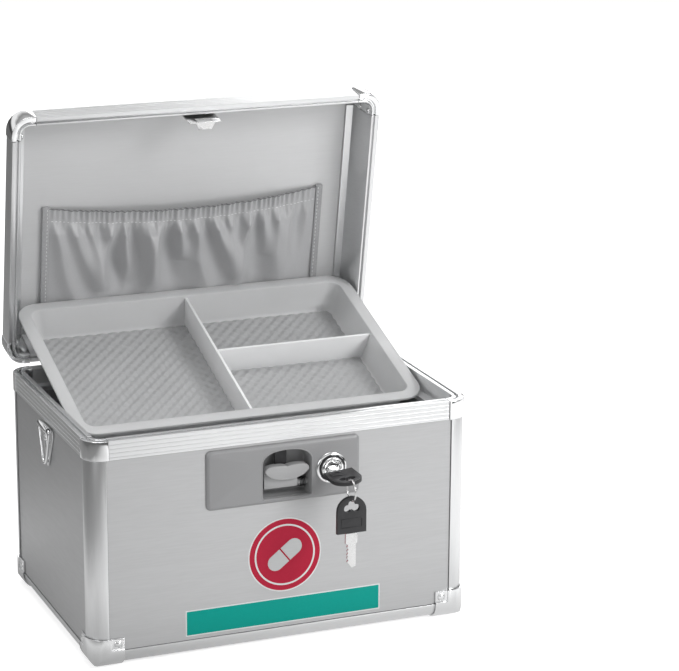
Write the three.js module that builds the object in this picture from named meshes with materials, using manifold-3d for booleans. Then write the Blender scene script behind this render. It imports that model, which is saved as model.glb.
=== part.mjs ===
import * as THREE from "three";
import { mergeVertices } from "three/addons/utils/BufferGeometryUtils.js";
import Module from "manifold-3d";

// A lockable medicine box with an aluminium frame, in millimetres: lid up, tray propped in the opening.
// X runs right, Y runs back, Z runs up. The origin is on the floor, under the middle of the base.

const clearance = 0.3; // between pieces that lie against each other
const overrun = 4; // how far a cutter runs past what it cuts
const weld = 1e-4; // corners closer than this are one corner
const arcSteps = 6; // straight steps in a quarter turn of the frame
const roundSteps = 16; // straight steps round a pin, bore or rivet
const steepness = 8; // how sharply the pocket's folds end at its sides
const quarter = Math.PI / 2;

const base = { width: 320, depth: 218, height: 187 };
const board = { thickness: 3, inset: 1.2, tuck: 4 };
const post = { radius: 15, wall: 6.5 };
const rail = { size: 12.7, wall: 5.5 };
const cap = {
  proud: 1.6,
  reach: 27,
  rise: 25,
  step: 1.2,
  earThickness: 1,
  rivetInset: 22,
  rivetHeight: 20.2,
};
const rivet = { radius: 3.2, height: 1.6, shoulder: 0.8 };
const rivetShares = { shoulder: 0.9, crown: 0.5, crownHeight: 0.9 };

const rim = {
  height: 15.7,
  wall: 9,
  cornerReach: 17,
  cornerProud: 0.8,
  legDrop: 1.8,
  ledge: 8, // how far the tray's ledge stands in from the rim
  ledgeThickness: 4,
};
const groove = { inset: 3.6, width: 1.8, depth: 2.5 };
const rib = { pitch: 3.4, width: 0.8, depth: 0.4, margin: 2.2 };

const lid = {
  band: 17.5,
  height: 35,
  angle: 80,
  wall: 8,
  innerDraft: 4,
  ease: 1.2, // eases the frame's inner lower edge, which the tray tips over
  cornerReach: 19.5,
  steps: 3,
  stepRun: 3,
  stepRise: 6,
};
const lidFlange = { lip: 5, strip: 6.2, stripThickness: 2, stripHeight: 28.7 };

const hinge = {
  endInset: 75, // from the end of the box to the middle of a hinge
  length: 50,
  leaf: 1.5,
  leafHeight: 13,
  knuckle: 3,
  pin: 1.5,
  joint: 15.2, // length of each outer knuckle
  drop: 2.5, // the pin's place below the rim's top and behind the box
  standOff: 3.4,
};

// The latch and the lock hang together: their heights are drops below the lock plate's top edge.
const plate = { width: 129, height: 48.8, proud: 2.5, corner: 4, drop: 18 };
const housing = { left: -24, beyondLock: 14.1, low: 44, high: 3.4, depth: 17.5 };
const recess = { left: -17.7, right: 23.2, low: 44.6, spring: 17, high: 5.8, depth: 14.4 };
const lever = {
  width: 37.4,
  height: 12.3,
  centre: 3.1,
  low: 30.9,
  thickness: 6.5,
  setBack: 1,
  pivotLow: 36.5,
  pivotDepth: 10,
  shaft: 2.6,
  stub: 1.4,
  webGap: 2.4, // from its web to the recess's left side, and to the coil
};
const leverShares = { bump: 0.27, dip: 0.9, tipHeight: 0.62, pull: 0.2, belly: 0.76, face: 0.5 };
const coil = { radius: 4, wire: 0.4, turns: 4, pitch: 1.3, side: 5, steps: 10, left: 15.5 };
const bolt = {
  width: 10,
  thickness: 1.2,
  nose: 5.6,
  noseHeight: 4,
  noseDrop: 4.5,
  low: 28,
  depth: 6.4, // from the front of the rim to the bolt
  skin: 2.2, // what is left of the rim before the bolt
  play: 1.5,
};
const striker = {
  width: 28,
  thickness: 1,
  setBack: 9.6,
  above: 10.5,
  below: 11,
  lip: 6,
  lipWide: 17,
  lipTip: 11,
  windowTop: 3.7,
  windowBottom: 9.6,
};

const lock = {
  endInset: 24.7, // from the end of the lock plate
  low: 24.5,
  bezel: 13,
  bezelDepth: 1.8,
  nose: 9.4,
  noseDepth: 4.5,
  body: 8.2,
  length: 18.5,
  plug: 5.4,
  plugSink: 0.5,
};
const cam = { arm: 18, width: 9, thickness: 1.5 };
const key = {
  bow: 24.5,
  length: 30,
  thickness: 3,
  blade: 7.5,
  bladeThickness: 2,
  bladeLength: 29,
  shoulder: 10,
  shoulderLength: 9,
  bridge: 3,
  ringGap: 0.45, // left over the bow by the ring that hangs on it
  lobe: 3.1,
  lobeSpread: 3.6,
  lobeDrop: 3.4,
  hub: 2,
  tooth: 1.2,
  teeth: 5,
  roll: 4.5,
};
const toothShares = [0.5, 1, 0.7];
const ring = { radius: 8.6, wire: 0.65, sides: 8, steps: 28 };

const strap = {
  under: 2.8, // the ring's pin below the rim's foot
  width: 30,
  drop: 33,
  thickness: 1.2,
  knuckle: 2.75,
  bore: 1.75,
  knuckleLength: 24,
  rivetInset: 6,
  rivetDrop: 11,
  rivet: 2.4,
  shoulder: 6,
};
const loop = { wire: 1.25, width: 30, drop: 30, bend: 4, tip: 5, sides: 8, steps: 36 };

const handle = {
  spacing: 140,
  leg: 20,
  legDepth: 12,
  grip: 18,
  rise: 54,
  gap: 33,
  shoulder: 36,
  crown: 24,
  pivot: 11,
  foot: 7.5,
  stub: 2.5,
};
const ear = { thickness: 4, depth: 17, height: 18, base: 2 };

const tray = {
  play: 1.5, // left beside it in the rim
  slack: 9.3, // how much shorter it is than the opening
  flange: 9,
  thickness: 2,
  corner: 20,
  deep: 25.7,
  wall: 1.6,
  draft: 6,
  divider: 2.4,
  dividerDrop: 3,
  pocketCorner: 7,
  slide: 45.2, // how far back the tray is pushed from the middle of the box
  railGap: 3.6, // left over the lid's back rail by the tilted tray
};
const trayShares = { corner: 0.5, cross: 0.522 };
const tiltRounds = 12; // tries that settle the tray's tilt

const pocket = {
  endInset: 35,
  foot: 22,
  height: 104,
  thickness: 1.2,
  sag: 8,
  puff: 4.5,
  folds: 13,
  fold: 1.3,
  columns: 52,
  rows: 9,
};
const foldShares = { slant: 0.35, swell: 0.55, late: 1.7 };

const rimBottom = base.height - rim.height;
const lidBottom = base.height + clearance;
const panelFace = -base.depth / 2 + board.inset;
const plateFront = panelFace - clearance - plate.proud;
const plateTop = base.height - plate.drop;
const housingBottom = plateTop - housing.low;
const housingTop = plateTop - housing.high;
const recessSpring = plateTop - recess.spring;
const leverBottom = plateTop - lever.low;
const pivotHeight = plateTop - lever.pivotLow;
const lockHeight = plateTop - lock.low;
const lockX = plate.width / 2 - lock.endInset;
const housingRight = lockX + housing.beyondLock;
const pin = new THREE.Vector3(0, base.depth / 2 + hinge.standOff, base.height - hinge.drop);
const boltFace = -base.depth / 2 + bolt.depth;
const strapReach = strap.thickness + strap.knuckle; // the strap ring's pin, out from the board
const trayWidth = base.width - 2 * (rim.wall + tray.play);
const trayDepth = base.depth - 2 * rim.wall - tray.slack;

const finish = {
  brushed: { color: 0xb9bcbf, roughness: 0.42, metalness: 0.85 },
  satin: { color: 0xcfd1d3, roughness: 0.3, metalness: 0.9 },
  chrome: { color: 0xe4e6e8, roughness: 0.08, metalness: 1 },
  lining: { color: 0xbfc1c3, roughness: 0.6, metalness: 0.2 },
  plastic: { color: 0x8f9193, roughness: 0.45, metalness: 0 },
  paddle: { color: 0xb4b6b8, roughness: 0.4, metalness: 0.1 },
  steel: { color: 0xb6b8ba, roughness: 0.28, metalness: 1 },
  black: { color: 0x26272a, roughness: 0.5, metalness: 0 },
  frosted: { color: 0xdfe3e6, roughness: 0.35, metalness: 0 },
  cloth: { color: 0x9c9ea2, roughness: 0.7, metalness: 0 },
};

const wasm = await Module();
wasm.setup();

function solidOf(geometry) {
  const plain = new THREE.BufferGeometry();
  plain.setAttribute("position", geometry.getAttribute("position").clone());
  if (geometry.index) plain.setIndex(geometry.index.clone());
  const merged = mergeVertices(plain, weld);
  const vertProperties = new Float32Array(merged.attributes.position.array);
  const triVerts = new Uint32Array(merged.index.array);
  return new wasm.Manifold(new wasm.Mesh({ numProp: 3, vertProperties, triVerts }));
}

function geometryOf(solid) {
  const mesh = solid.getMesh();
  const geometry = new THREE.BufferGeometry();
  geometry.setAttribute("position", new THREE.BufferAttribute(new Float32Array(mesh.vertProperties), 3));
  geometry.setIndex(new THREE.BufferAttribute(new Uint32Array(mesh.triVerts), 1));
  return geometry;
}

function join(...geometries) {
  return geometryOf(geometries.map(solidOf).reduce((all, next) => all.add(next)));
}

function common(...geometries) {
  return geometryOf(geometries.map(solidOf).reduce((all, next) => all.intersect(next)));
}

function cut(body, ...tools) {
  return geometryOf(tools.map(solidOf).reduce((rest, tool) => rest.subtract(tool), solidOf(body)));
}

// A box from its two far corners, each [x, y, z].
function block(low, high) {
  const size = high.map((value, i) => value - low[i]);
  const middle = high.map((value, i) => (value + low[i]) / 2);
  return new THREE.BoxGeometry(...size).translate(...middle);
}

const grown = ([low, high], by = clearance) => block(
  low.map((value) => value - by),
  high.map((value) => value + by),
);

function shapeOf(points) {
  return new THREE.Shape(points.map(([a, b]) => new THREE.Vector2(a, b)));
}

// Extrudes a shape drawn in the first two axes along the third, between two places.
function prism(shape, from, to, axes = null) {
  const options = { depth: to - from, bevelEnabled: false, curveSegments: arcSteps };
  const geometry = new THREE.ExtrudeGeometry(shape, options).translate(0, 0, from);
  return axes ? geometry.applyMatrix4(new THREE.Matrix4().makeBasis(...axes)) : geometry;
}

const right = new THREE.Vector3(1, 0, 0);
const back = new THREE.Vector3(0, 1, 0);
const up = new THREE.Vector3(0, 0, 1);
const left = right.clone().negate();
const front = back.clone().negate();
const acrossAxes = [back, up, right]; // a shape in Y and Z, run along X
const facingAxes = [right, up, front]; // a shape in X and Z, run towards the front

function turned(profile, steps) {
  const points = profile.map(([radius, height]) => new THREE.Vector2(radius, height));
  return new THREE.LatheGeometry(points, steps);
}

// A round bar along X, Y or Z between two places on that axis.
function bar(radius, from, to, axis = "z", steps = roundSteps) {
  const geometry = new THREE.CylinderGeometry(radius, radius, to - from, steps);
  geometry.translate(0, (from + to) / 2, 0);
  if (axis === "x") geometry.rotateZ(-quarter);
  if (axis === "z") geometry.rotateX(quarter);
  return geometry;
}

function rivetHead(radius, height) {
  const side = radius * rivetShares.shoulder;
  const crown = radius * rivetShares.crown;
  const profile = [[0, -rivet.shoulder], [radius, -rivet.shoulder], [radius, 0], [side, height / 2]];
  profile.push([crown, height * rivetShares.crownHeight], [0, height]);
  return turned(profile, roundSteps);
}

// The four sides: a runs inwards from the outer face, b up, and the third axis along the side.
const sides = {
  front: { inward: back, along: right, span: base.width, offset: base.depth / 2 },
  back: { inward: front, along: left, span: base.width, offset: base.depth / 2 },
  left: { inward: right, along: front, span: base.depth, offset: base.width / 2 },
  right: { inward: left, along: back, span: base.depth, offset: base.width / 2 },
};

// The four corners: p and q run inwards along the two sides.
const corners = {
  front_left: { p: right, q: back, x: -1, y: -1, sides: ["front", "left"] },
  front_right: { p: back, q: left, x: 1, y: -1, sides: ["front", "right"] },
  back_right: { p: left, q: front, x: 1, y: 1, sides: ["back", "right"] },
  back_left: { p: front, q: right, x: -1, y: 1, sides: ["back", "left"] },
};

function sideMatrix({ inward, along, offset }) {
  return new THREE.Matrix4().makeBasis(inward, up, along).setPosition(inward.clone().multiplyScalar(-offset));
}

function cornerMatrix({ p, q, x, y }) {
  const matrix = new THREE.Matrix4().makeBasis(p, q, up);
  return matrix.setPosition((x * base.width) / 2, (y * base.depth) / 2, 0);
}

function alongSide(side, section, endGap) {
  const half = side.span / 2 - endGap;
  return prism(section, -half, half).applyMatrix4(sideMatrix(side));
}

// The boards that fill the frame, as low and high corners.
const wallLow = cap.proud + rail.size - board.tuck;
const wallHigh = rimBottom + board.tuck;
const wallX = base.width / 2 - post.radius + board.tuck;
const wallY = base.depth / 2 - post.radius + board.tuck;
const faceX = base.width / 2 - board.inset;
const faceY = base.depth / 2 - board.inset;
const floorX = base.width / 2 - rail.size + board.tuck;
const floorY = base.depth / 2 - rail.size + board.tuck;
const floorLow = cap.proud + board.inset;
const lidTop = lidBottom + lid.height - board.inset;
const lidInset = lid.stepRun * lid.steps + board.inset;
const lidBoardX = base.width / 2 - lidInset - clearance;
const lidBoardY = base.depth / 2 - lidInset - clearance;

const boards = {
  front: [[-wallX, -faceY, wallLow], [wallX, -faceY + board.thickness, wallHigh]],
  back: [[-wallX, faceY - board.thickness, wallLow], [wallX, faceY, wallHigh]],
  left: [[-faceX, -wallY, wallLow], [-faceX + board.thickness, wallY, wallHigh]],
  right: [[faceX - board.thickness, -wallY, wallLow], [faceX, wallY, wallHigh]],
  bottom: [[-floorX, -floorY, floorLow], [floorX, floorY, floorLow + board.thickness]],
  lid: [[-lidBoardX, -lidBoardY, lidTop - board.thickness], [lidBoardX, lidBoardY, lidTop]],
};

// A quarter ring between two edges that meet square, its outer radius the full size.
function quarterRing(size, wall, lift = 0) {
  const shape = new THREE.Shape();
  shape.absarc(size, size + lift, size, Math.PI, Math.PI + quarter, false);
  shape.absarc(size, size + lift, size - wall, Math.PI + quarter, Math.PI, true);
  return shape;
}

function cornerPost(corner) {
  const section = quarterRing(post.radius, post.wall);
  const body = prism(section, cap.proud + rail.size + clearance, rimBottom - clearance);
  return cut(body.applyMatrix4(cornerMatrix(corner)), ...corner.sides.map((name) => grown(boards[name])));
}

function bottomRail(name) {
  const body = alongSide(sides[name], quarterRing(rail.size, rail.wall, cap.proud), post.radius);
  return cut(body, grown(boards[name]), grown(boards.bottom));
}

// Shallow lines cut along an upright outer face, from one height to another.
function ribbedEdge(from, to) {
  const points = [];
  for (let b = from + rib.margin; b + rib.width < to - rib.depth; b += rib.pitch) {
    points.push([0, b], [rib.depth, b], [rib.depth, b + rib.width], [0, b + rib.width]);
  }
  return points;
}

function grooveAt(height, depth) {
  const near = groove.inset;
  const far = groove.inset + groove.width;
  return [[near, height], [near, height - depth], [far, height - depth], [far, height]];
}

function baseRim(name) {
  const foot = rimBottom - rim.legDrop;
  const inner = board.inset + board.thickness + clearance;
  const section = shapeOf([
    [inner, rimBottom],
    [0, rimBottom],
    ...ribbedEdge(rimBottom, base.height),
    [0, base.height],
    ...grooveAt(base.height, groove.depth),
    [rim.wall, base.height],
    [rim.wall, foot + rim.ledgeThickness],
    [rim.wall + rim.ledge, foot + rim.ledgeThickness],
    [rim.wall + rim.ledge, foot],
    [inner, foot],
  ].reverse());
  const body = alongSide(sides[name], section, rim.cornerReach + clearance);
  const tools = [grown(boards[name])];
  if (name === "front") tools.push(boltSlot());
  return cut(body, ...tools);
}

// The way through the rim and the front board in which the bolt slides.
function boltSlot() {
  const half = bolt.width / 2 + bolt.play;
  const high = base.height - bolt.noseDrop + clearance * 2;
  const outer = -base.depth / 2 + bolt.skin;
  return block([-half, outer, housingBottom], [half, -base.depth / 2 + rim.wall + clearance, high]);
}

// Turns a frame section round a corner and runs it a little way along both sides.
function cornerPiece(section, reach) {
  const profile = section.map(([a, b]) => [post.radius - a, b]);
  const loopPoints = [...profile, profile[0]].reverse();
  const low = Math.min(...section.map(([, b]) => b)) - overrun;
  const high = Math.max(...section.map(([, b]) => b)) + overrun;
  const round = turned(loopPoints, arcSteps * 4).rotateX(quarter).translate(post.radius, post.radius, 0);
  const quadrant = block([-overrun, -overrun, low], [post.radius, post.radius, high]);
  const shape = shapeOf(section);
  const alongP = prism(shape, post.radius, reach, acrossAxes);
  const alongQ = prism(shape, -reach, -post.radius, facingAxes);
  return join(common(round, quadrant), alongP, alongQ);
}

function rimCorner(corner) {
  const section = [
    [-rim.cornerProud, rimBottom],
    [-rim.cornerProud, base.height],
    ...grooveAt(base.height, groove.depth),
    [rim.wall, base.height],
    [rim.wall, rimBottom],
  ].reverse();
  const body = cornerPiece(section, rim.cornerReach).applyMatrix4(cornerMatrix(corner));
  return cut(body, ...corner.sides.map((name) => grown(boards[name])));
}

// The block that a bottom corner cap wraps, grown outwards by an offset.
function cornerBlock(offset, reach, rise) {
  const [v, h] = [post.radius, rail.size];
  const lift = cap.proud;
  const plan = new THREE.Shape().moveTo(reach, reach).lineTo(-offset, reach).lineTo(-offset, v);
  plan.absarc(v, v, v + offset, Math.PI, Math.PI + quarter, false).lineTo(reach, -offset);
  const edge = new THREE.Shape().moveTo(reach, rise).lineTo(-offset, rise).lineTo(-offset, lift + h);
  edge.absarc(h, lift + h, h + offset, Math.PI, Math.PI + quarter, false).lineTo(reach, lift - offset);
  const upright = prism(plan, lift - offset, rise);
  const alongP = prism(edge, -offset, reach, acrossAxes);
  const alongQ = prism(edge, -reach, offset, facingAxes);
  return common(upright, alongP, alongQ);
}

// The riveted tab of a cap that lies on the board beside the post, in the plane q = 0.
function capEar() {
  const near = post.radius + clearance;
  const low = cap.proud + rail.size + clearance;
  const seat = board.inset - clearance;
  const body = block([near, -cap.proud, low], [cap.reach, seat, cap.rise]);
  const face = seat - cap.earThickness;
  const hollow = block(
    [near + cap.step, -cap.proud - overrun, low + cap.step],
    [cap.reach + overrun, face, cap.rise + overrun],
  );
  const head = rivetHead(rivet.radius, rivet.height).rotateX(Math.PI);
  head.translate(cap.rivetInset, face, cap.rivetHeight);
  return join(cut(body, hollow), head);
}

function bottomCorner(corner) {
  const outer = cornerBlock(cap.proud, cap.reach, cap.rise);
  const inner = cornerBlock(clearance, cap.reach + overrun, cap.rise + overrun);
  const near = post.radius + clearance;
  const low = cap.proud + rail.size + clearance;
  const window = block([near, -cap.proud - overrun, low], [cap.reach + overrun, near, cap.rise + overrun]);
  const mirror = new THREE.Matrix4().makeBasis(back, right, up);
  const shell = cut(outer, inner, window, flipped(window.clone().applyMatrix4(mirror)));
  const ear = capEar();
  const otherEar = flipped(ear.clone().applyMatrix4(mirror));
  return join(shell, ear, otherEar).applyMatrix4(cornerMatrix(corner));
}

// Turns the faces of a mirrored geometry outwards again.
function flipped(geometry) {
  const index = geometry.index.array.slice();
  for (let i = 0; i < index.length; i += 3) [index[i + 1], index[i + 2]] = [index[i + 2], index[i + 1]];
  return geometry.setIndex(new THREE.BufferAttribute(index, 1));
}

// The stepped outer outline of the lid frame, from the seam up to its top edge.
function lidSteps(proud, ribs) {
  const points = [[-proud, lidBottom], ...(ribs ? ribbedEdge(lidBottom, lidBottom + lid.band) : [])];
  for (let step = 0; step < lid.steps; step += 1) {
    const height = lidBottom + lid.band + step * lid.stepRise;
    points.push([step * lid.stepRun - proud, height], [(step + 1) * lid.stepRun - proud, height]);
  }
  points.push([lid.stepRun * lid.steps - proud, lidBottom + lid.height]);
  return points;
}

const lidSeamEdge = () => grooveAt(lidBottom, -groove.depth).reverse();

function lidRail(name) {
  const lip = lid.stepRun * lid.steps + lidFlange.lip;
  const foot = lid.wall + lid.innerDraft;
  const strip = lidBottom + lidFlange.stripHeight;
  const section = shapeOf([
    ...lidSteps(0, true),
    [lip, lidBottom + lid.height],
    [lip, strip + lidFlange.stripThickness],
    [foot + lidFlange.strip, strip + lidFlange.stripThickness],
    [foot + lidFlange.strip, strip],
    [foot, strip],
    [lid.wall, lidBottom + groove.depth],
    [lid.wall - lid.ease, lidBottom],
    ...lidSeamEdge(),
  ].reverse());
  const body = alongSide(sides[name], section, lid.cornerReach + clearance);
  return cut(body, grown(boards.lid));
}

function lidCorner(corner) {
  const foot = lid.wall + lid.innerDraft;
  const section = [
    ...lidSteps(rim.cornerProud, false),
    [foot, lidBottom + lid.height],
    [foot, lidBottom + lidFlange.stripHeight],
    [lid.wall, lidBottom + groove.depth],
    [lid.wall - lid.ease, lidBottom],
    ...lidSeamEdge(),
  ].reverse();
  const body = cornerPiece(section, lid.cornerReach).applyMatrix4(cornerMatrix(corner));
  return cut(body, grown(boards.lid));
}

function frontBoard() {
  const [low, high] = boards.front;
  const hole = block(
    [housing.left - clearance, low[1] - overrun, housingBottom - clearance],
    [housingRight + clearance, high[1] + overrun, housingTop + clearance],
  );
  return cut(block(low, high), hole, boltSlot());
}

// One leaf of a hinge, drawn about the pin: the sign says which way it runs from the pin.
function hingeLeaf(sign, knuckles, pinned) {
  const inner = -hinge.standOff + clearance;
  const outer = inner + hinge.leaf;
  const half = hinge.length / 2;
  const near = hinge.knuckle + clearance;
  const far = hinge.leafHeight;
  const flap = sign > 0 ? [near, far] : [-far, -near];
  const pieces = [block([-half, inner, flap[0]], [half, outer, flap[1]])];
  for (const [from, to] of knuckles) {
    const neck = sign > 0 ? [0, near + clearance] : [-near - clearance, 0];
    pieces.push(block([from, inner, neck[0]], [to, outer, neck[1]]));
    pieces.push(bar(hinge.knuckle, from, to, "x"));
  }
  const body = join(...pieces);
  if (pinned) return join(body, bar(hinge.pin, -half, half, "x"));
  return cut(body, bar(hinge.pin + clearance, -half - overrun, half + overrun, "x"));
}

function hingePair() {
  const half = hinge.length / 2;
  const inner = half - hinge.joint;
  const gap = clearance;
  const fixed = hingeLeaf(-1, [[-half, -inner], [inner, half]], true);
  const moving = hingeLeaf(1, [[-inner + gap, inner - gap]], false);
  return { fixed, moving };
}

function roundedRect(lowX, lowY, highX, highY, radius) {
  const shape = new THREE.Shape();
  shape.absarc(highX - radius, lowY + radius, radius, -quarter, 0, false);
  shape.absarc(highX - radius, highY - radius, radius, 0, quarter, false);
  shape.absarc(lowX + radius, highY - radius, radius, quarter, Math.PI, false);
  shape.absarc(lowX + radius, lowY + radius, radius, Math.PI, Math.PI + quarter, false);
  return shape;
}

// The finger recess: square below, with a low arch on top.
function recessShape() {
  const middle = (recess.left + recess.right) / 2;
  const [low, high] = [plateTop - recess.low, plateTop - recess.high];
  const shape = new THREE.Shape().moveTo(recess.left, low).lineTo(recess.right, low);
  shape.lineTo(recess.right, recessSpring);
  shape.quadraticCurveTo(recess.right, high, middle, high);
  shape.quadraticCurveTo(recess.left, high, recess.left, recessSpring);
  return shape;
}

function latchHousing() {
  const side = plate.width / 2;
  const outline = roundedRect(-side, plateTop - plate.height, side, plateTop, plate.corner);
  const facing = prism(outline, -plateFront - plate.proud, -plateFront, facingAxes);
  const bodyBack = plateFront + housing.depth;
  const body = block(
    [housing.left, plateFront + clearance, housingBottom],
    [housingRight, bodyBack, housingTop],
  );
  const cup = prism(recessShape(), -plateFront - recess.depth, -plateFront + overrun, facingAxes);
  const bore = bar(lock.body + clearance, plateFront - overrun, bodyBack + overrun, "y", roundSteps);
  bore.translate(lockX, 0, lockHeight);
  const pivot = bar(lever.stub + clearance, recess.left - overrun, recess.right + overrun, "x");
  pivot.translate(0, plateFront + lever.pivotDepth, pivotHeight);
  const half = bolt.width / 2 + bolt.play;
  const slot = block(
    [-half, -base.depth / 2 + bolt.skin, recessSpring],
    [half, boltFace + bolt.thickness + bolt.play, housingTop + overrun],
  );
  return cut(join(facing, body), cup, bore, pivot, slot);
}

// The paddle's face is a wide lip with two low bumps on its upper edge.
function leverShape() {
  const [half, low, high] = [lever.width / 2, leverBottom, leverBottom + lever.height];
  const tip = low + lever.height * leverShares.tipHeight;
  const bump = half * 2 * leverShares.bump;
  const dip = low + lever.height * leverShares.dip;
  const c = lever.centre;
  const shape = new THREE.Shape().moveTo(c - half, tip);
  shape.quadraticCurveTo(c - half * leverShares.belly, low, c, low);
  shape.quadraticCurveTo(c + half * leverShares.belly, low, c + half, tip);
  shape.quadraticCurveTo(c + half, high, c + bump, high);
  shape.quadraticCurveTo(c + bump * leverShares.pull, high, c, dip);
  shape.quadraticCurveTo(c - bump * leverShares.pull, high, c - bump, high);
  shape.quadraticCurveTo(c - half, high, c - half, tip);
  return shape;
}

function latchLever() {
  const facePlane = plateFront + lever.setBack;
  const face = prism(leverShape(), -facePlane - lever.thickness, -facePlane, facingAxes);
  const pivotY = plateFront + lever.pivotDepth;
  const webFront = facePlane + lever.thickness * leverShares.face;
  const low = [recess.left + lever.webGap, webFront, pivotHeight - lever.stub];
  const webRight = coil.left - coil.wire - lever.webGap;
  const webTop = leverBottom + lever.height * leverShares.tipHeight;
  const web = block(low, [webRight, facePlane + lever.thickness, webTop]);
  const arm = block(low, [webRight, pivotY, leverBottom + lever.setBack]);
  const shaft = bar(lever.shaft, recess.left + clearance, recess.right - clearance, "x");
  const stubs = bar(lever.stub, recess.left - lever.shaft, recess.right + lever.shaft, "x");
  shaft.translate(0, pivotY, pivotHeight);
  stubs.translate(0, pivotY, pivotHeight);
  return join(face, web, arm, shaft, stubs);
}

// A wire wound round the lever's shaft.
class CoilCurve extends THREE.Curve {
  getPoint(t, target = new THREE.Vector3()) {
    const angle = t * coil.turns * Math.PI * 2;
    const run = t * coil.turns * coil.pitch;
    return target.set(coil.left + run, coil.radius * Math.cos(angle), coil.radius * Math.sin(angle));
  }
}

function latchSpring() {
  const section = new THREE.Shape().absarc(0, 0, coil.wire, 0, Math.PI * 2, false);
  const points = section.getPoints(coil.side).slice(0, coil.side);
  const options = { steps: coil.turns * coil.steps, extrudePath: new CoilCurve(), bevelEnabled: false };
  const wire = new THREE.ExtrudeGeometry(new THREE.Shape(points), options);
  return wire.translate(0, plateFront + lever.pivotDepth, pivotHeight);
}

function latchBolt() {
  const half = bolt.width / 2;
  const noseTop = base.height - bolt.noseDrop;
  const noseLow = noseTop - bolt.noseHeight;
  const arm = block([-half, boltFace, plateTop - bolt.low], [half, boltFace + bolt.thickness, noseTop]);
  const nose = block([-half, boltFace, noseLow], [half, boltFace + bolt.thickness + bolt.nose, noseTop]);
  return join(arm, nose);
}

// The hooked plate under the front of the lid that the bolt holds.
function latchStriker() {
  const near = -base.depth / 2 + striker.setBack;
  const far = near + striker.thickness;
  const half = striker.width / 2;
  const low = lidBottom - striker.below;
  const leaf = block([-half, near, low], [half, far, lidBottom + striker.above]);
  const windowHalf = bolt.width / 2 + bolt.play;
  const opening = block(
    [-windowHalf, near - overrun, lidBottom - striker.windowBottom],
    [windowHalf, far + overrun, lidBottom - striker.windowTop],
  );
  const tongue = shapeOf([
    [-striker.lipWide / 2, near],
    [striker.lipWide / 2, near],
    [striker.lipWide / 2, far],
    [striker.lipTip / 2, far + striker.lip],
    [-striker.lipTip / 2, far + striker.lip],
    [-striker.lipWide / 2, far],
  ]);
  return join(cut(leaf, opening), prism(tongue, low, low + striker.thickness));
}

// Lock pieces are turned about the lock's own axis, which points to the front.
function lockBarrel() {
  const bore = lock.plug + clearance;
  const profile = [
    [bore, -lock.length],
    [lock.body, -lock.length],
    [lock.body, clearance],
    [lock.bezel, clearance],
    [lock.bezel, lock.bezelDepth],
    [lock.nose, lock.noseDepth - lock.plugSink],
    [lock.nose - lock.plugSink, lock.noseDepth],
    [bore, lock.noseDepth],
    [bore, -lock.length],
  ];
  return turned(profile, roundSteps * 2).rotateX(Math.PI).translate(lockX, plateFront, lockHeight);
}

const keyStand = key.shoulderLength + clearance; // how far the bow stands off the plug
const plugFace = plateFront - lock.noseDepth + lock.plugSink;
const plugBack = plateFront + lock.length + clearance;

function lockPlug() {
  const body = bar(lock.plug, plugFace, plugBack, "y").translate(lockX, 0, lockHeight);
  const wide = key.blade / 2 + clearance;
  const thick = key.bladeThickness / 2 + clearance;
  const way = block([-wide, -overrun, -thick], [wide, key.bladeLength - keyStand + clearance, thick]);
  return cut(body, way.rotateY(-THREE.MathUtils.degToRad(key.roll)).translate(lockX, plugFace, lockHeight));
}

function lockCam() {
  const low = plugBack + clearance;
  const disc = bar(lock.plug, low, low + cam.thickness, "y");
  const arm = block([-cam.width / 2, low, -cam.arm], [cam.width / 2, low + cam.thickness, 0]);
  return join(disc, arm).translate(lockX, 0, lockHeight);
}

// A key lies in X and Y: the flat end of its bow is at y = 0 and its rounded end at +y.
function keyBow() {
  const [half, straight] = [key.bow / 2, key.length - key.bow / 2];
  const outline = new THREE.Shape().moveTo(-half, 0).lineTo(half, 0).lineTo(half, straight);
  outline.absarc(0, straight, half, 0, Math.PI, false);
  const body = prism(outline, -key.thickness / 2, key.thickness / 2);
  const centre = key.length - key.bridge - key.lobe;
  const lobes = [-1, 0, 1].map((side) => [side * key.lobeSpread, centre - Math.abs(side) * key.lobeDrop]);
  const holes = lobes.map(([x, y]) => bar(key.lobe, -overrun, overrun).translate(x, y, 0));
  holes.push(bar(key.hub, -overrun, overrun).translate(0, centre - key.lobeDrop, 0));
  return cut(body, ...holes);
}

function keyBlade() {
  const [half, wide] = [key.blade / 2, key.shoulder / 2];
  const points = [[wide, -clearance], [-wide, -clearance]];
  points.push([-wide, -key.shoulderLength], [-half, -key.shoulderLength]);
  const run = (key.bladeLength - key.shoulderLength - key.shoulder / 2) / key.teeth;
  for (let i = 0; i < key.teeth; i += 1) {
    const start = -key.shoulderLength - i * run;
    const tooth = key.tooth * toothShares[i % toothShares.length];
    points.push([-half + tooth, start - run / 2], [-half, start - run]);
  }
  points.push([0, -key.bladeLength], [half, -key.bladeLength + key.tooth], [half, -key.shoulderLength]);
  points.push([wide, -key.shoulderLength]);
  return prism(shapeOf(points), -key.bladeThickness / 2, key.bladeThickness / 2);
}

function keyRing() {
  return new THREE.TorusGeometry(ring.radius, ring.wire, ring.sides, ring.steps).rotateY(quarter);
}

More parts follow.
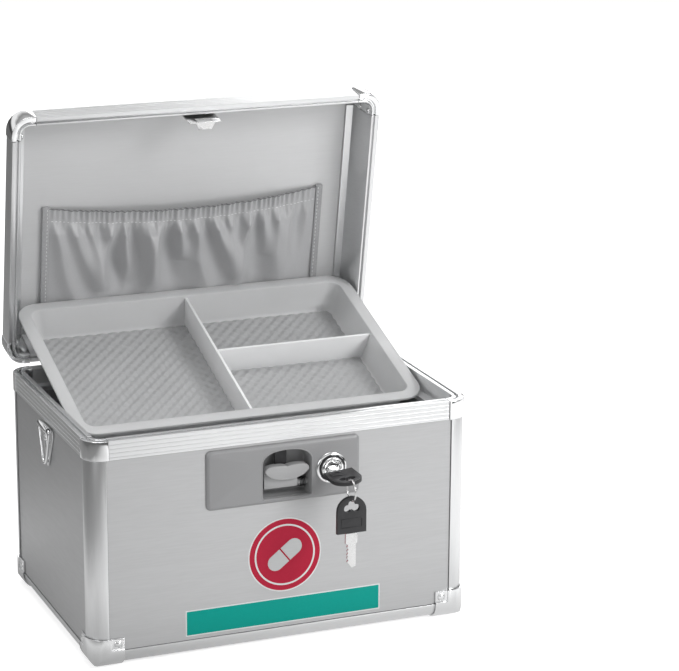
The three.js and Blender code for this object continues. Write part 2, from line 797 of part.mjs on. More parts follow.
// The plate and knuckle on a side board, drawn with +x pointing out of the board.
function strapBracket() {
  const half = strap.width / 2;
  const outline = new THREE.Shape().moveTo(-half, 0).lineTo(-half, -strap.shoulder);
  const toe = strap.shoulder / 2;
  outline.lineTo(-toe, -strap.drop + toe);
  outline.quadraticCurveTo(0, -strap.drop - toe, toe, -strap.drop + toe);
  outline.lineTo(half, -strap.shoulder).lineTo(half, 0);
  const leaf = prism(outline, clearance, clearance + strap.thickness, acrossAxes);
  const barrel = bar(strap.knuckle, -strap.knuckleLength / 2, strap.knuckleLength / 2, "y");
  barrel.translate(strapReach, 0, 0);
  const hole = bar(strap.bore, -strap.width, strap.width, "y").translate(strapReach, 0, 0);
  const heads = [-1, 1].map((sign) => {
    const head = rivetHead(strap.rivet, strap.thickness).rotateZ(-quarter);
    return head.translate(clearance + strap.thickness, sign * strap.rivetInset, -strap.rivetDrop);
  });
  return join(cut(join(leaf, barrel), hole), ...heads);
}

// The strap ring: a straight bar through the knuckle, closed below by a rounded V.
function strapRing() {
  const [half, bend, tip] = [loop.width / 2, loop.bend, loop.tip];
  const place = (y, z) => new THREE.Vector3(0, y, z);
  const route = new THREE.CurvePath();
  const slope = (half - tip) / loop.drop;
  const corner = [half, 0];
  const downRight = [half - slope * bend, -bend];
  const lowRight = [tip, -loop.drop + tip / 2];
  const line = (...ends) => route.add(new THREE.LineCurve3(...ends.map((p) => place(...p))));
  const turn = (...bends) => route.add(new THREE.QuadraticBezierCurve3(...bends.map((p) => place(...p))));
  line([0, 0], [half - bend, 0]);
  turn([half - bend, 0], corner, downRight);
  line(downRight, lowRight);
  turn(lowRight, [0, -loop.drop - tip / 2], [-tip, lowRight[1]]);
  line([-tip, lowRight[1]], [-downRight[0], downRight[1]]);
  turn([-downRight[0], downRight[1]], [-half, 0], [-half + bend, 0]);
  line([-half + bend, 0], [0, 0]);
  return closedTube(route, loop.wire, loop.sides, loop.steps);
}

// A round tube along a closed flat path in Y and Z, its last ring joined to its first.
function closedTube(path, radius, sideCount, steps) {
  const positions = [];
  const index = [];
  for (let i = 0; i < steps; i += 1) {
    const centre = path.getPointAt(i / steps);
    const tangent = path.getTangentAt(i / steps);
    const across = new THREE.Vector3().crossVectors(right, tangent).normalize();
    for (let j = 0; j < sideCount; j += 1) {
      const angle = (j / sideCount) * Math.PI * 2;
      const offset = across.clone().multiplyScalar(Math.cos(angle) * radius);
      offset.addScaledVector(right, Math.sin(angle) * radius).add(centre);
      positions.push(...offset.toArray());
      const [next, turn] = [(i + 1) % steps, (j + 1) % sideCount];
      const quad = [i * sideCount + j, i * sideCount + turn, next * sideCount + turn, next * sideCount + j];
      index.push(quad[0], quad[1], quad[2], quad[0], quad[2], quad[3]);
    }
  }
  const geometry = new THREE.BufferGeometry();
  geometry.setAttribute("position", new THREE.Float32BufferAttribute(positions, 3));
  return geometry.setIndex(index);
}

// The handle stands up from its pivots, which are at height 0.
function carryHandle() {
  const mid = handle.spacing / 2;
  const [outer, inner] = [mid + handle.leg / 2, mid - handle.leg / 2];
  const { rise, gap, shoulder, foot } = handle;
  const outline = new THREE.Shape().moveTo(inner, -foot).lineTo(outer, -foot).lineTo(outer, shoulder);
  outline.quadraticCurveTo(outer, (shoulder + rise) / 2, outer - handle.crown, rise - foot / 2);
  outline.quadraticCurveTo(0, rise + foot / 2, -outer + handle.crown, rise - foot / 2);
  outline.quadraticCurveTo(-outer, (shoulder + rise) / 2, -outer, shoulder);
  outline.lineTo(-outer, -foot).lineTo(-inner, -foot).lineTo(-inner, gap - foot * 2);
  outline.quadraticCurveTo(-inner, gap, -inner + foot * 2, gap);
  outline.quadraticCurveTo(0, gap + foot, inner - foot * 2, gap);
  outline.quadraticCurveTo(inner, gap, inner, gap - foot * 2);
  const body = prism(outline, -handle.grip / 2, handle.grip / 2, facingAxes);
  const slim = (handle.grip - handle.legDepth) / 2;
  const trims = [-1, 1].flatMap((sign) => [-1, 1].map((face) => {
    const wide = handle.leg;
    const y = [face * handle.legDepth / 2, face * (handle.grip / 2 + slim)].sort((a, b) => a - b);
    return block([sign * mid - wide, y[0], -foot - overrun], [sign * mid + wide, y[1], gap - foot]);
  }));
  const rounds = [-1, 1].map((sign) => {
    const low = block([sign * mid - handle.leg, -foot, -foot - overrun], [sign * mid + handle.leg, foot, 0]);
    const keep = bar(handle.legDepth / 2, sign * mid - handle.leg, sign * mid + handle.leg, "x");
    return cut(low, keep);
  });
  const pins = [-1, 1].map((sign) => {
    const reach = handle.leg / 2 + ear.thickness - clearance;
    return bar(handle.stub, sign * mid - reach, sign * mid + reach, "x");
  });
  return join(cut(body, ...trims, ...rounds), ...pins);
}

// A chrome clevis on the lid, drawn about the middle of its foot.
function handleBracket() {
  const gap = handle.leg / 2 + clearance;
  const outer = gap + ear.thickness;
  const half = ear.depth / 2;
  const foot = block([-outer, -half, clearance], [outer, half, ear.base]);
  const side = new THREE.Shape().moveTo(-half, clearance).lineTo(half, clearance);
  side.lineTo(half, ear.height - half);
  side.absarc(0, ear.height - half, half, 0, Math.PI, false);
  const ears = [[-outer, -gap], [gap, outer]].map(([from, to]) => prism(side, from, to, acrossAxes));
  const hole = bar(handle.stub + clearance, -outer - overrun, outer + overrun, "x");
  hole.translate(0, 0, handle.pivot);
  return cut(join(foot, ...ears), hole);
}

// Stacks outlines of equal point count at their heights and closes both ends.
function loft(outlines, heights) {
  const count = outlines[0].length;
  const positions = outlines.flatMap((outline, i) => outline.flatMap((p) => [p.x, p.y, heights[i]]));
  const index = [];
  for (let i = 0; i + 1 < outlines.length; i += 1) {
    for (let j = 0; j < count; j += 1) {
      const [a, b] = [i * count + j, i * count + ((j + 1) % count)];
      index.push(a, b, b + count, a, b + count, a + count);
    }
  }
  const last = (outlines.length - 1) * count;
  const { triangulateShape } = THREE.ShapeUtils;
  for (const [a, b, c] of triangulateShape(outlines[0], [])) index.push(a, c, b);
  for (const [a, b, c] of triangulateShape(outlines.at(-1), [])) index.push(last + a, last + b, last + c);
  const geometry = new THREE.BufferGeometry();
  geometry.setAttribute("position", new THREE.Float32BufferAttribute(positions, 3));
  return geometry.setIndex(index);
}

function insetOutline(area, inset, radius) {
  const [lowX, lowY, highX, highY] = area;
  const shape = roundedRect(lowX + inset, lowY + inset, highX - inset, highY - inset, radius);
  return shape.extractPoints(arcSteps).shape;
}

// The tray, drawn from the front edge of its flange backwards, with the flange's top at height 0.
function trayBody() {
  const whole = [-trayWidth / 2, 0, trayWidth / 2, trayDepth];
  const rings = [
    [tray.flange + tray.draft, -tray.deep - tray.wall],
    [tray.flange, -tray.thickness],
    [0, -tray.thickness],
    [0, 0],
  ];
  const outer = loft(
    rings.map(([inset]) => insetOutline(whole, inset, tray.corner - inset * trayShares.corner)),
    rings.map(([, height]) => height),
  );
  const edge = tray.flange + tray.wall;
  const area = [-trayWidth / 2 + edge, edge, trayWidth / 2 - edge, trayDepth - edge];
  const floor = insetOutline(area, tray.draft, tray.pocketCorner);
  const mouth = insetOutline(area, 0, tray.pocketCorner + tray.draft);
  const basin = loft([floor, mouth], [-tray.deep, overrun]);
  const half = tray.divider / 2;
  const cross = trayDepth * trayShares.cross;
  const low = -tray.deep - overrun;
  const lengthwise = block([-half, 0, low], [half, trayDepth, -tray.dividerDrop]);
  const across = block([0, cross - half, low], [trayWidth / 2, cross + half, -tray.dividerDrop]);
  return cut(outer, cut(basin, lengthwise, across));
}

// The gathered pocket on the lid's lining: how far the cloth stands off the board.
function clothStand(across, down) {
  const swell = Math.sin(Math.PI * Math.min(1, down * foldShares.late)) * foldShares.swell;
  const puff = pocket.puff * (1 - across * across) * (1 - down + swell);
  const phase = pocket.folds * Math.PI * (across + foldShares.slant * across * down);
  const fade = (1 - down) * (1 - across ** steepness) + (1 - foldShares.swell) * down * (1 - down);
  return clearance + pocket.thickness + puff + pocket.fold * (1 + Math.sin(phase)) * fade;
}

function lidPocket() {
  const { columns, rows, thickness } = pocket;
  const half = base.width / 2 - pocket.endInset;
  const bottom = base.depth / 2 - pocket.foot;
  const under = boards.lid[0][2];
  const positions = [];
  const index = [];
  const at = (i, j, layer) => (layer * (rows + 1) + j) * (columns + 1) + i;
  for (const layer of [0, 1]) {
    for (let j = 0; j <= rows; j += 1) {
      for (let i = 0; i <= columns; i += 1) {
        const across = (2 * i) / columns - 1;
        const down = j / rows;
        const top = bottom - pocket.height + pocket.sag * (1 - across * across);
        const y = top + (bottom - top) * down;
        positions.push(across * half, y, under - clothStand(across, down) + layer * thickness);
      }
    }
  }
  const face = (a, b, c, d) => index.push(a, b, c, a, c, d);
  for (let j = 0; j < rows; j += 1) {
    for (let i = 0; i < columns; i += 1) {
      face(at(i, j, 0), at(i, j + 1, 0), at(i + 1, j + 1, 0), at(i + 1, j, 0));
      face(at(i, j, 1), at(i + 1, j, 1), at(i + 1, j + 1, 1), at(i, j + 1, 1));
    }
    face(at(0, j, 0), at(0, j, 1), at(0, j + 1, 1), at(0, j + 1, 0));
    face(at(columns, j, 0), at(columns, j + 1, 0), at(columns, j + 1, 1), at(columns, j, 1));
  }
  for (let i = 0; i < columns; i += 1) {
    face(at(i, 0, 0), at(i + 1, 0, 0), at(i + 1, 0, 1), at(i, 0, 1));
    face(at(i, rows, 0), at(i, rows, 1), at(i + 1, rows, 1), at(i + 1, rows, 0));
  }
  const geometry = new THREE.BufferGeometry();
  geometry.setAttribute("position", new THREE.Float32BufferAttribute(positions, 3));
  return geometry.setIndex(index);
}

function piece(parent, name, geometry, look) {
  geometry.computeVertexNormals();
  const mesh = new THREE.Mesh(geometry, new THREE.MeshStandardMaterial(look));
  mesh.name = name;
  parent.add(mesh);
  return mesh;
}

function group(parent, position = [0, 0, 0], rotation = [0, 0, 0]) {
  const made = new THREE.Group();
  made.position.set(...position);
  made.rotation.set(...rotation.map(THREE.MathUtils.degToRad));
  parent.add(made);
  return made;
}

const box = new THREE.Group();

for (const name of Object.keys(sides)) {
  piece(box, `base_panel_${name}`, name === "front" ? frontBoard() : block(...boards[name]), finish.brushed);
  piece(box, `bottom_rail_${name}`, bottomRail(name), finish.satin);
  piece(box, `base_rim_${name}`, baseRim(name), finish.satin);
}
piece(box, "base_panel_bottom", block(...boards.bottom), finish.lining);
for (const [name, corner] of Object.entries(corners)) {
  piece(box, `corner_post_${name}`, cornerPost(corner), finish.satin);
  piece(box, `bottom_corner_${name}`, bottomCorner(corner), finish.chrome);
  piece(box, `rim_corner_${name}`, rimCorner(corner), finish.chrome);
}

// Everything on the lid is drawn with the lid shut and then turned about the hinge pin.
const lidSwing = group(box, pin.toArray(), [-lid.angle, 0, 0]);
const lidFrame = group(lidSwing, pin.clone().negate().toArray());
piece(lidFrame, "lid_panel", block(...boards.lid), finish.brushed);
for (const name of Object.keys(sides)) piece(lidFrame, `lid_rail_${name}`, lidRail(name), finish.satin);
for (const [name, corner] of Object.entries(corners)) {
  piece(lidFrame, `lid_corner_${name}`, lidCorner(corner), finish.chrome);
}
piece(lidFrame, "latch_striker", latchStriker(), finish.chrome);
piece(lidFrame, "lid_pocket", lidPocket(), finish.cloth);

for (const [name, sign] of [["left", -1], ["right", 1]]) {
  const place = new THREE.Vector3(sign * (base.width / 2 - hinge.endInset), 0, 0);
  const { fixed, moving } = hingePair();
  piece(box, `hinge_base_leaf_${name}`, fixed, finish.steel).position.copy(place).add(pin);
  piece(lidSwing, `hinge_lid_leaf_${name}`, moving, finish.steel).position.copy(place);
}

piece(box, "latch_housing", latchHousing(), finish.plastic);
piece(box, "latch_lever", latchLever(), finish.paddle);
piece(box, "latch_spring", latchSpring(), finish.steel);
piece(box, "latch_bolt", latchBolt(), finish.steel);
piece(box, "lock_barrel", lockBarrel(), finish.chrome);
piece(box, "lock_plug", lockPlug(), finish.chrome);
piece(box, "lock_cam", lockCam(), finish.steel);

// The key points to the front, rolled a little in its plug; the spare hangs from its ring.
const keyPlace = group(box, [lockX, plugFace, lockHeight], [0, -key.roll, 0]);
const keyFlat = group(keyPlace, [0, -keyStand, 0], [0, 0, 180]);
piece(keyFlat, "key_blade", keyBlade(), finish.steel);
piece(keyFlat, "key_bow", keyBow(), finish.black);
const bridgeY = plugFace - keyStand - key.length + key.bridge / 2;
const ringDrop = ring.radius - ring.wire - key.thickness / 2 - key.ringGap;
const ringHang = group(box, [lockX, bridgeY, lockHeight - ringDrop]);
piece(ringHang, "key_ring", keyRing(), finish.steel);
const spareDrop = ring.radius - ring.wire - clearance - key.bridge + key.length;
const spareHang = group(ringHang, [0, 0, -spareDrop], [90, 0, 0]);
piece(spareHang, "spare_key_bow", keyBow(), finish.black);
piece(spareHang, "spare_key_blade", keyBlade(), finish.steel);

for (const [name, turn, x] of [["left", 180, -faceX], ["right", 0, faceX]]) {
  const place = group(box, [x, 0, rimBottom - strap.under], [0, 0, turn]);
  piece(place, `strap_bracket_${name}`, strapBracket(), finish.chrome);
  piece(place, `strap_ring_${name}`, strapRing(), finish.chrome).position.set(strapReach, 0, 0);
}

// The handle lies back on the lid when it is let go.
const handleSeat = group(lidFrame, [0, 0, lidTop]);
for (const [name, sign] of [["left", -1], ["right", 1]]) {
  const bracket = piece(handleSeat, `handle_bracket_${name}`, handleBracket(), finish.chrome);
  bracket.position.x = (sign * handle.spacing) / 2;
}
const handleSwing = group(handleSeat, [0, 0, handle.pivot], [-90, 0, 0]);
piece(handleSwing, "carry_handle", carryHandle(), finish.satin);

// The tray's front edge rests on the side ledges and its back leans into the lid.
const onLedge = trayWidth / 2 + rim.wall + rim.ledge - base.width / 2;
const roundedOff = tray.corner - Math.sqrt(tray.corner ** 2 - (tray.corner - onLedge) ** 2);

function trayFront(tilt) {
  const ledgeTop = rimBottom - rim.legDrop + rim.ledgeThickness;
  const lift = clearance + tray.thickness * Math.cos(tilt) - roundedOff * Math.sin(tilt);
  return new THREE.Vector3(0, -trayDepth / 2 + tray.slide, ledgeTop + lift);
}

// The tilt at which the tray's underside just clears the open lid's back rail.
function trayTilt() {
  const crest = new THREE.Vector3(0, base.depth / 2 - lid.wall, lidBottom + groove.depth).sub(pin);
  crest.applyAxisAngle(right, -THREE.MathUtils.degToRad(lid.angle)).add(pin);
  const under = tray.deep + tray.wall + tray.railGap;
  let tilt = 0;
  for (let round = 0; round < tiltRounds; round += 1) {
    const reach = crest.clone().sub(trayFront(tilt));
    tilt = Math.atan2(reach.z, reach.y) + Math.asin(under / Math.hypot(reach.y, reach.z));
  }
  return tilt;
}

const tilt = trayTilt();
const trayPlace = group(box, trayFront(tilt).toArray(), [THREE.MathUtils.radToDeg(tilt), 0, 0]);
piece(trayPlace, "tray", trayBody(), finish.frosted);

export default box;
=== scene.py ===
# A lockable medicine box with an aluminium frame: the looks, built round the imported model.
import math

import bmesh
import bpy
from mathutils import Matrix, Vector


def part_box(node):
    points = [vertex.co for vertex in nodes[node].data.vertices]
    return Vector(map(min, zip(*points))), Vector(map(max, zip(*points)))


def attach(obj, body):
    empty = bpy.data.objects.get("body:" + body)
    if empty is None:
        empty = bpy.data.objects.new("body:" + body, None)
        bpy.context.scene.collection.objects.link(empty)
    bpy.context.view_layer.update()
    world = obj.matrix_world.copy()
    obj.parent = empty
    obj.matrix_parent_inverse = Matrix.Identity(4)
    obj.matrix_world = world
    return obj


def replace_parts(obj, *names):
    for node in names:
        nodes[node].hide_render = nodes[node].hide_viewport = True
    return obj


mm = 0.001

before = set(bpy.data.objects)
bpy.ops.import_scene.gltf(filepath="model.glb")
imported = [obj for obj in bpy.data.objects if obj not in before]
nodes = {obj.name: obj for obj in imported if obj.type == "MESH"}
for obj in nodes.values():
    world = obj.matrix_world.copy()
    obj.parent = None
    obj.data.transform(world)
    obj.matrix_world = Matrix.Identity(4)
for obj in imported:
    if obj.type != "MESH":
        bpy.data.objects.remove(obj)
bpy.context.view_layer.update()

# The photograph's viewpoint, fitted to the box's edges, in degrees and millimetres.
cameraFit = {
    "yaw": 22.41,
    "pitch": 15.81,
    "roll": 0.34,
    "across": 86.2,
    "up": 217.4,
    "floorUp": 1.6,
    "distance": 2231.5,
    "lens": 141.39,
    "sensor": 36.0,
    "farthest": 50000,
}


def makeCamera():
    yaw, pitch, roll = (math.radians(cameraFit[name]) for name in ("yaw", "pitch", "roll"))
    back = Vector((-math.sin(yaw) * math.cos(pitch), -math.cos(yaw) * math.cos(pitch), math.sin(pitch)))
    level = (-back).cross(Vector((0, 0, 1))).normalized()
    top = level.cross(-back)
    right = level * math.cos(roll) + top * math.sin(roll)
    up = top * math.cos(roll) - level * math.sin(roll)
    target = right * cameraFit["across"] + up * cameraFit["up"] + Vector((0, 0, cameraFit["floorUp"]))
    data = bpy.data.cameras.new("camera")
    data.lens = cameraFit["lens"]
    data.sensor_width = cameraFit["sensor"]
    data.clip_end = cameraFit["farthest"] * mm
    camera = bpy.data.objects.new("camera", data)
    turn = Matrix((right, up, back)).transposed().to_4x4()
    camera.matrix_world = Matrix.Translation((target + back * cameraFit["distance"]) * mm) @ turn
    bpy.context.scene.collection.objects.link(camera)
    bpy.context.scene.camera = camera


makeCamera()
print("scene: camera")

# Places that several pieces share, in millimetres and degrees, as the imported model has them.
place = {
    "lidPin": Vector((0, 112.4, 184.5)),
    "lidAngle": 80,
    "liningHeight": 218.1,
    "boardFace": -107.8,
    "trayFront": Vector((0, -50.15, 174.042)),
    "trayTilt": 18.4063,
    "plateFront": -110.6,
}
lidTurn = (
    Matrix.Translation(place["lidPin"])
    @ Matrix.Rotation(math.radians(-place["lidAngle"]), 4, "X")
    @ Matrix.Translation(-place["lidPin"])
)
trayTurn = Matrix.Translation(place["trayFront"]) @ Matrix.Rotation(math.radians(place["trayTilt"]), 4, "X")
toMetres = Matrix.Scale(mm, 4)


# Materials


def addNode(tree, kind, inputs=None, **settings):
    node = tree.nodes.new(kind)
    for name, value in settings.items():
        setattr(node, name, value)
    for name, value in (inputs or {}).items():
        if isinstance(value, bpy.types.NodeSocket):
            tree.links.new(value, node.inputs[name])
        else:
            node.inputs[name].default_value = value
    return node


def makeFinish(name, colour, roughness, **sockets):
    made = bpy.data.materials.new(name)
    made.use_nodes = True
    shader = made.node_tree.nodes["Principled BSDF"]
    shader.inputs["Base Color"].default_value = (*colour, 1)
    shader.inputs["Roughness"].default_value = roughness
    for socket, value in sockets.items():
        shader.inputs[socket.replace("_", " ")].default_value = value
    return made


# The part of the noise's range that a grain uses, from its darkest to its lightest.
grainRange = {"From Min": 0.35, "From Max": 0.65}


# Noise stretched by scale, which varies the colour and the roughness and roughens the surface.
def addGrain(made, scale, shade, rough=0.0, relief=0.0, detail=3.0):
    tree = made.node_tree
    shader = tree.nodes["Principled BSDF"]
    coords = addNode(tree, "ShaderNodeTexCoord")
    mapping = addNode(tree, "ShaderNodeMapping", {"Vector": coords.outputs["Object"], "Scale": scale})
    pattern = {"Vector": mapping.outputs[0], "Scale": 1.0, "Detail": detail}
    noise = addNode(tree, "ShaderNodeTexNoise", pattern)
    level = addNode(tree, "ShaderNodeMapRange", {"Value": noise.outputs[0], **grainRange})
    base = shader.inputs["Base Color"]
    if base.links:
        levels = {"Value": level.outputs[0], "To Min": shade, "To Max": 1.0}
        tone = addNode(tree, "ShaderNodeMapRange", levels)
        mix = addNode(tree, "ShaderNodeMix", {"Factor": 1.0}, data_type="RGBA", blend_type="MULTIPLY")
        tree.links.new(base.links[0].from_socket, mix.inputs[6])
        tree.links.new(tone.outputs[0], mix.inputs[7])
    else:
        light = tuple(base.default_value)
        mix = addNode(tree, "ShaderNodeMix", {"Factor": level.outputs[0]}, data_type="RGBA")
        mix.inputs[6].default_value = (*(part * shade for part in light[:3]), 1)
        mix.inputs[7].default_value = light
    tree.links.new(mix.outputs[2], base)
    if rough:
        middle = shader.inputs["Roughness"].default_value
        levels = {"Value": level.outputs[0], "To Min": middle + rough, "To Max": middle - rough}
        varied = addNode(tree, "ShaderNodeMapRange", levels)
        tree.links.new(varied.outputs[0], shader.inputs["Roughness"])
    if relief:
        bump = addNode(tree, "ShaderNodeBump", {"Height": noise.outputs[0], "Distance": relief * mm})
        tree.links.new(bump.outputs[0], shader.inputs["Normal"])
    return made


tones = {
    "board": (0.50, 0.503, 0.508),
    "lining": (0.64, 0.643, 0.648),
    "frame": (0.74, 0.745, 0.75),
    "chrome": (0.80, 0.805, 0.81),
    "steel": (0.66, 0.66, 0.66),
    # Near black: painted shade on the latch's spring and bolt and in the lock's groove.
    "dark": (0.035, 0.035, 0.037),
    "plate": (0.28, 0.281, 0.286),
    "lever": (0.37, 0.372, 0.375),
    "black": (0.018, 0.018, 0.02),
    "tray": (0.83, 0.835, 0.84),
    # Painted light: the dividers are lighter than the rest of the tray.
    "divider": (0.93, 0.935, 0.94),
    # Painted shade: the tray's floor is darker than the rest of the tray.
    "trayFloorPaintedShade": (0.50, 0.504, 0.51),
    "cloth": (0.43, 0.432, 0.44),
    # The seam tone also paints the shadow along the pocket's upper edge.
    "seam": (0.19, 0.191, 0.196),
    "binding": (0.36, 0.362, 0.37),
    "teal": (0.0, 0.30, 0.25),
    "pale": (0.72, 0.73, 0.73),
    "crimson": (0.44, 0.016, 0.045),
}
# Brushed streaks: scales per metre across and along them, and the broad ones' share of the strength.
brush = {
    "fine": 1100.0,
    "fineAlong": 60.0,
    "broad": 210.0,
    "broadAlong": 7.0,
    "broadShare": 0.45,
    "broadDetail": 2.0,
    "rough": 0.02,
}


# Satin metal or laminate with faint streaks along X, Y or Z (0, 1 or 2), as dark as the share streak.
def makeBrushed(name, tone, roughness, metallic, along, streak):
    made = makeFinish(name, tones[tone], roughness, Metallic=metallic)
    fine, broad = [brush["fine"]] * 3, [brush["broad"]] * 3
    fine[along], broad[along] = brush["fineAlong"], brush["broadAlong"]
    addGrain(made, fine, streak, brush["rough"])
    return addGrain(made, broad, 1 - (1 - streak) * brush["broadShare"], detail=brush["broadDetail"])


# Tone, roughness, then the grain: scale per metre, darkest share, change of roughness, relief in mm.
def makeGrained(name, tone, roughness, scale, shade, rough=0.0, relief=0.0, **sockets):
    made = makeFinish(name, tones[tone], roughness, **sockets)
    return addGrain(made, scale if isinstance(scale, tuple) else (scale,) * 3, shade, rough, relief)


boardAlongX = makeBrushed("laminated board, long sides", "board", 0.44, 0.75, 0, 0.965)
boardAlongY = makeBrushed("laminated board, short sides", "board", 0.44, 0.75, 1, 0.965)
lining = makeBrushed("lid board", "lining", 0.48, 0.45, 0, 0.985)
frameAlong = [
    makeBrushed("satin frame along " + axis, "frame", 0.3, 0.92, index, 0.975)
    for index, axis in enumerate("XYZ")
]
chrome = makeGrained("polished chrome", "chrome", 0.07, 60.0, 0.985, 0.015, Metallic=1.0)
satinCap = makeGrained("satin cap", "chrome", 0.2, 60.0, 0.98, 0.015, Metallic=1.0)
steel = makeGrained("plain steel", "steel", 0.26, 400.0, 0.97, 0.015, Metallic=1.0)
# Near-black steel whose dark tone is painted shade inside the latch and in the lock's groove.
darkSteelPaintedShade = makeGrained("dark steel, painted shade", "dark", 0.4, 400.0, 0.9, 0.04, Metallic=0.6)
platePlastic = makeGrained("grey moulded plastic", "plate", 0.36, 1600.0, 0.96, 0.04, 0.003)
leverPlastic = makeGrained("light grey plastic", "lever", 0.4, 1600.0, 0.96, 0.04, 0.003)
blackPlastic = makeGrained("black moulded plastic", "black", 0.4, 1800.0, 0.8, 0.05, 0.006)
trayPlastic = makeGrained("frosted plastic", "tray", 0.36, 24.0, 0.97, Transmission_Weight=0.45, IOR=1.3)
# The dividers: the same frosted plastic, lighter as painted light on them.
trayDividerPaintedLight = makeGrained(
    "frosted plastic, thin walls, painted light", "divider", 0.36, 24.0, 0.97, Transmission_Weight=0.12, IOR=1.3
)
# The tray's floor: the same frosted plastic, darker as painted shade deep in the tray.
trayFloorPaintedShade = makeGrained(
    "frosted plastic, moulded floor, painted shade", "trayFloorPaintedShade", 0.3, 24.0, 0.95, Transmission_Weight=0.2, IOR=1.3
)
clothWeave, bindingRibs = (2600.0, 1200.0, 2600.0), (900.0, 2600.0, 900.0)
cloth = makeGrained(
    "grey satin cloth", "cloth", 0.42, clothWeave, 0.9, 0.05, 0.02, Sheen_Weight=0.3, Sheen_Roughness=0.35
)
binding = makeGrained("ribbed binding", "binding", 0.6, bindingRibs, 0.85, 0.05, 0.03, Sheen_Weight=0.2)
# The dark seam finish serves the board joints and the painted shadow along the pocket's upper edge.
seam = makeGrained("dark seam and painted shadow", "seam", 0.7, 1200.0, 0.8, 0.05, 0.03, Sheen_Weight=0.2)
tealVinyl, paleVinyl, crimsonVinyl = (
    makeGrained(tone + " vinyl", tone, 0.42, 700.0, shade, 0.04, 0.003, Specular_IOR_Level=0.15)
    for tone, shade in (("teal", 0.97), ("pale", 0.97), ("crimson", 0.96))
)
print("scene: finishes")

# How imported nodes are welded, their flat faces joined, and their sharp edges softened.
soften = {"weld": 0.01, "flat": 0.6, "segments": 3, "sharp": 32}


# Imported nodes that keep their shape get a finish, and softened edges where they have a width.
def dress(name, finish, edge):
    node = nodes[name]
    node.data.materials.clear()
    node.data.materials.append(finish)
    for face in node.data.polygons:
        face.use_smooth = edge > 0
    if not edge:
        return
    weld = node.modifiers.new("weld", "WELD")
    weld.merge_threshold = soften["weld"] * mm
    flat = node.modifiers.new("flat", "DECIMATE")
    flat.decimate_type = "DISSOLVE"
    flat.angle_limit = math.radians(soften["flat"])
    bevel = node.modifiers.new("edges", "BEVEL")
    bevel.width = edge * mm
    bevel.segments = soften["segments"]
    bevel.limit_method = "ANGLE"
    bevel.angle_limit = math.radians(soften["sharp"])
    bevel.harden_normals = True


# Each node's finish and the width of its softened edges.
dressed = {
    "base_panel_front": (boardAlongX, 0),
    "base_panel_back": (boardAlongX, 0),
    "base_panel_left": (boardAlongY, 0),
    "base_panel_right": (boardAlongY, 0),
    "base_panel_bottom": (boardAlongX, 0),
    "lid_panel": (lining, 0),
    "latch_striker": (steel, 0.3),
    # The latch's spring and bolt are near black as painted shade inside the latch.
    "latch_spring": (darkSteelPaintedShade, 0.1),
    "latch_bolt": (darkSteelPaintedShade, 0.3),
    "lock_plug": (chrome, 0.4),
    "lock_cam": (steel, 0.2),
    "key_blade": (steel, 0.25),
    "spare_key_blade": (steel, 0.25),
    "key_bow": (blackPlastic, 0.5),
    "spare_key_bow": (blackPlastic, 0.5),
    "carry_handle": (frameAlong[0], 2.4),
}
# The same for nodes that come several times, by how their names start.
dressedAlike = (
    (("corner_post",), frameAlong[2], 0.25),
    (("rim_corner", "lid_corner"), chrome, 0.4),
    (("bottom_corner",), satinCap, 0.4),
    (("strap_bracket", "handle_bracket"), chrome, 0.35),
    (("hinge_",), steel, 0.25),
)
frameBars = {"start": ("bottom_rail_", "base_rim_", "lid_rail_"), "edge": 0.25}
alongAxis = {"front": 0, "back": 0, "left": 1, "right": 1}
for name in nodes:
    if name.startswith(frameBars["start"]):
        side = name.rsplit("_", 1)[1]
        dressed[name] = (frameAlong[alongAxis[side]], frameBars["edge"])
    for starts, finish, edge in dressedAlike:
        if name.startswith(starts):
            dressed[name] = (finish, edge)
for name, (finish, edge) in dressed.items():
    dress(name, finish, edge)
print("scene: packed nodes")


def addPiece(name, mesh, body, finish, turn=None, smooth=32):
    mesh.transform(toMetres @ (turn or Matrix.Identity(4)))
    data = bpy.data.meshes.new(name)
    mesh.to_mesh(data)
    mesh.free()
    data.materials.append(finish)
    for face in data.polygons:
        face.use_smooth = True
    data.set_sharp_from_angle(angle=math.radians(smooth))
    piece = bpy.data.objects.new(name, data)
    bpy.context.scene.collection.objects.link(piece)
    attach(piece, body)
    return piece


def roundEdges(mesh, geom, width, segments, affect="EDGES"):
    bmesh.ops.bevel(
        mesh, geom=geom, offset=width, segments=segments, profile=0.5, affect=affect, material=-1
    )


# A rectangle with rounded corners in X and Y, as one face.
def roundedSheet(width, depth, corner, segments):
    mesh = bmesh.new()
    bmesh.ops.create_grid(mesh, x_segments=1, y_segments=1, size=0.5)
    bmesh.ops.scale(mesh, vec=(width, depth, 1), verts=mesh.verts)
    roundEdges(mesh, mesh.verts[:], corner, segments, "VERTICES")
    return mesh


# A block between two corners, its edges rounded by a width.
def addBlock(mesh, low, high, edge=0.6):
    made = bmesh.ops.create_cube(mesh, size=1)["verts"]
    size = [top - bottom for bottom, top in zip(low, high)]
    middle = [(top + bottom) / 2 for bottom, top in zip(low, high)]
    bmesh.ops.scale(mesh, vec=size, verts=made)
    bmesh.ops.translate(mesh, vec=middle, verts=made)
    if edge:
        edges = dict.fromkeys(link for vert in made for link in vert.link_edges)
        roundEdges(mesh, list(edges), edge, 2)


# A curve from start to end that bends towards control, without its last point.
def bend(start, control, end, steps):
    points = []
    for step in range(steps):
        t = step / steps
        near, middle, far = (1 - t) ** 2, 2 * t * (1 - t), t * t
        points.append(tuple(a * near + b * middle + c * far for a, b, c in zip(start, control, end)))
    return points


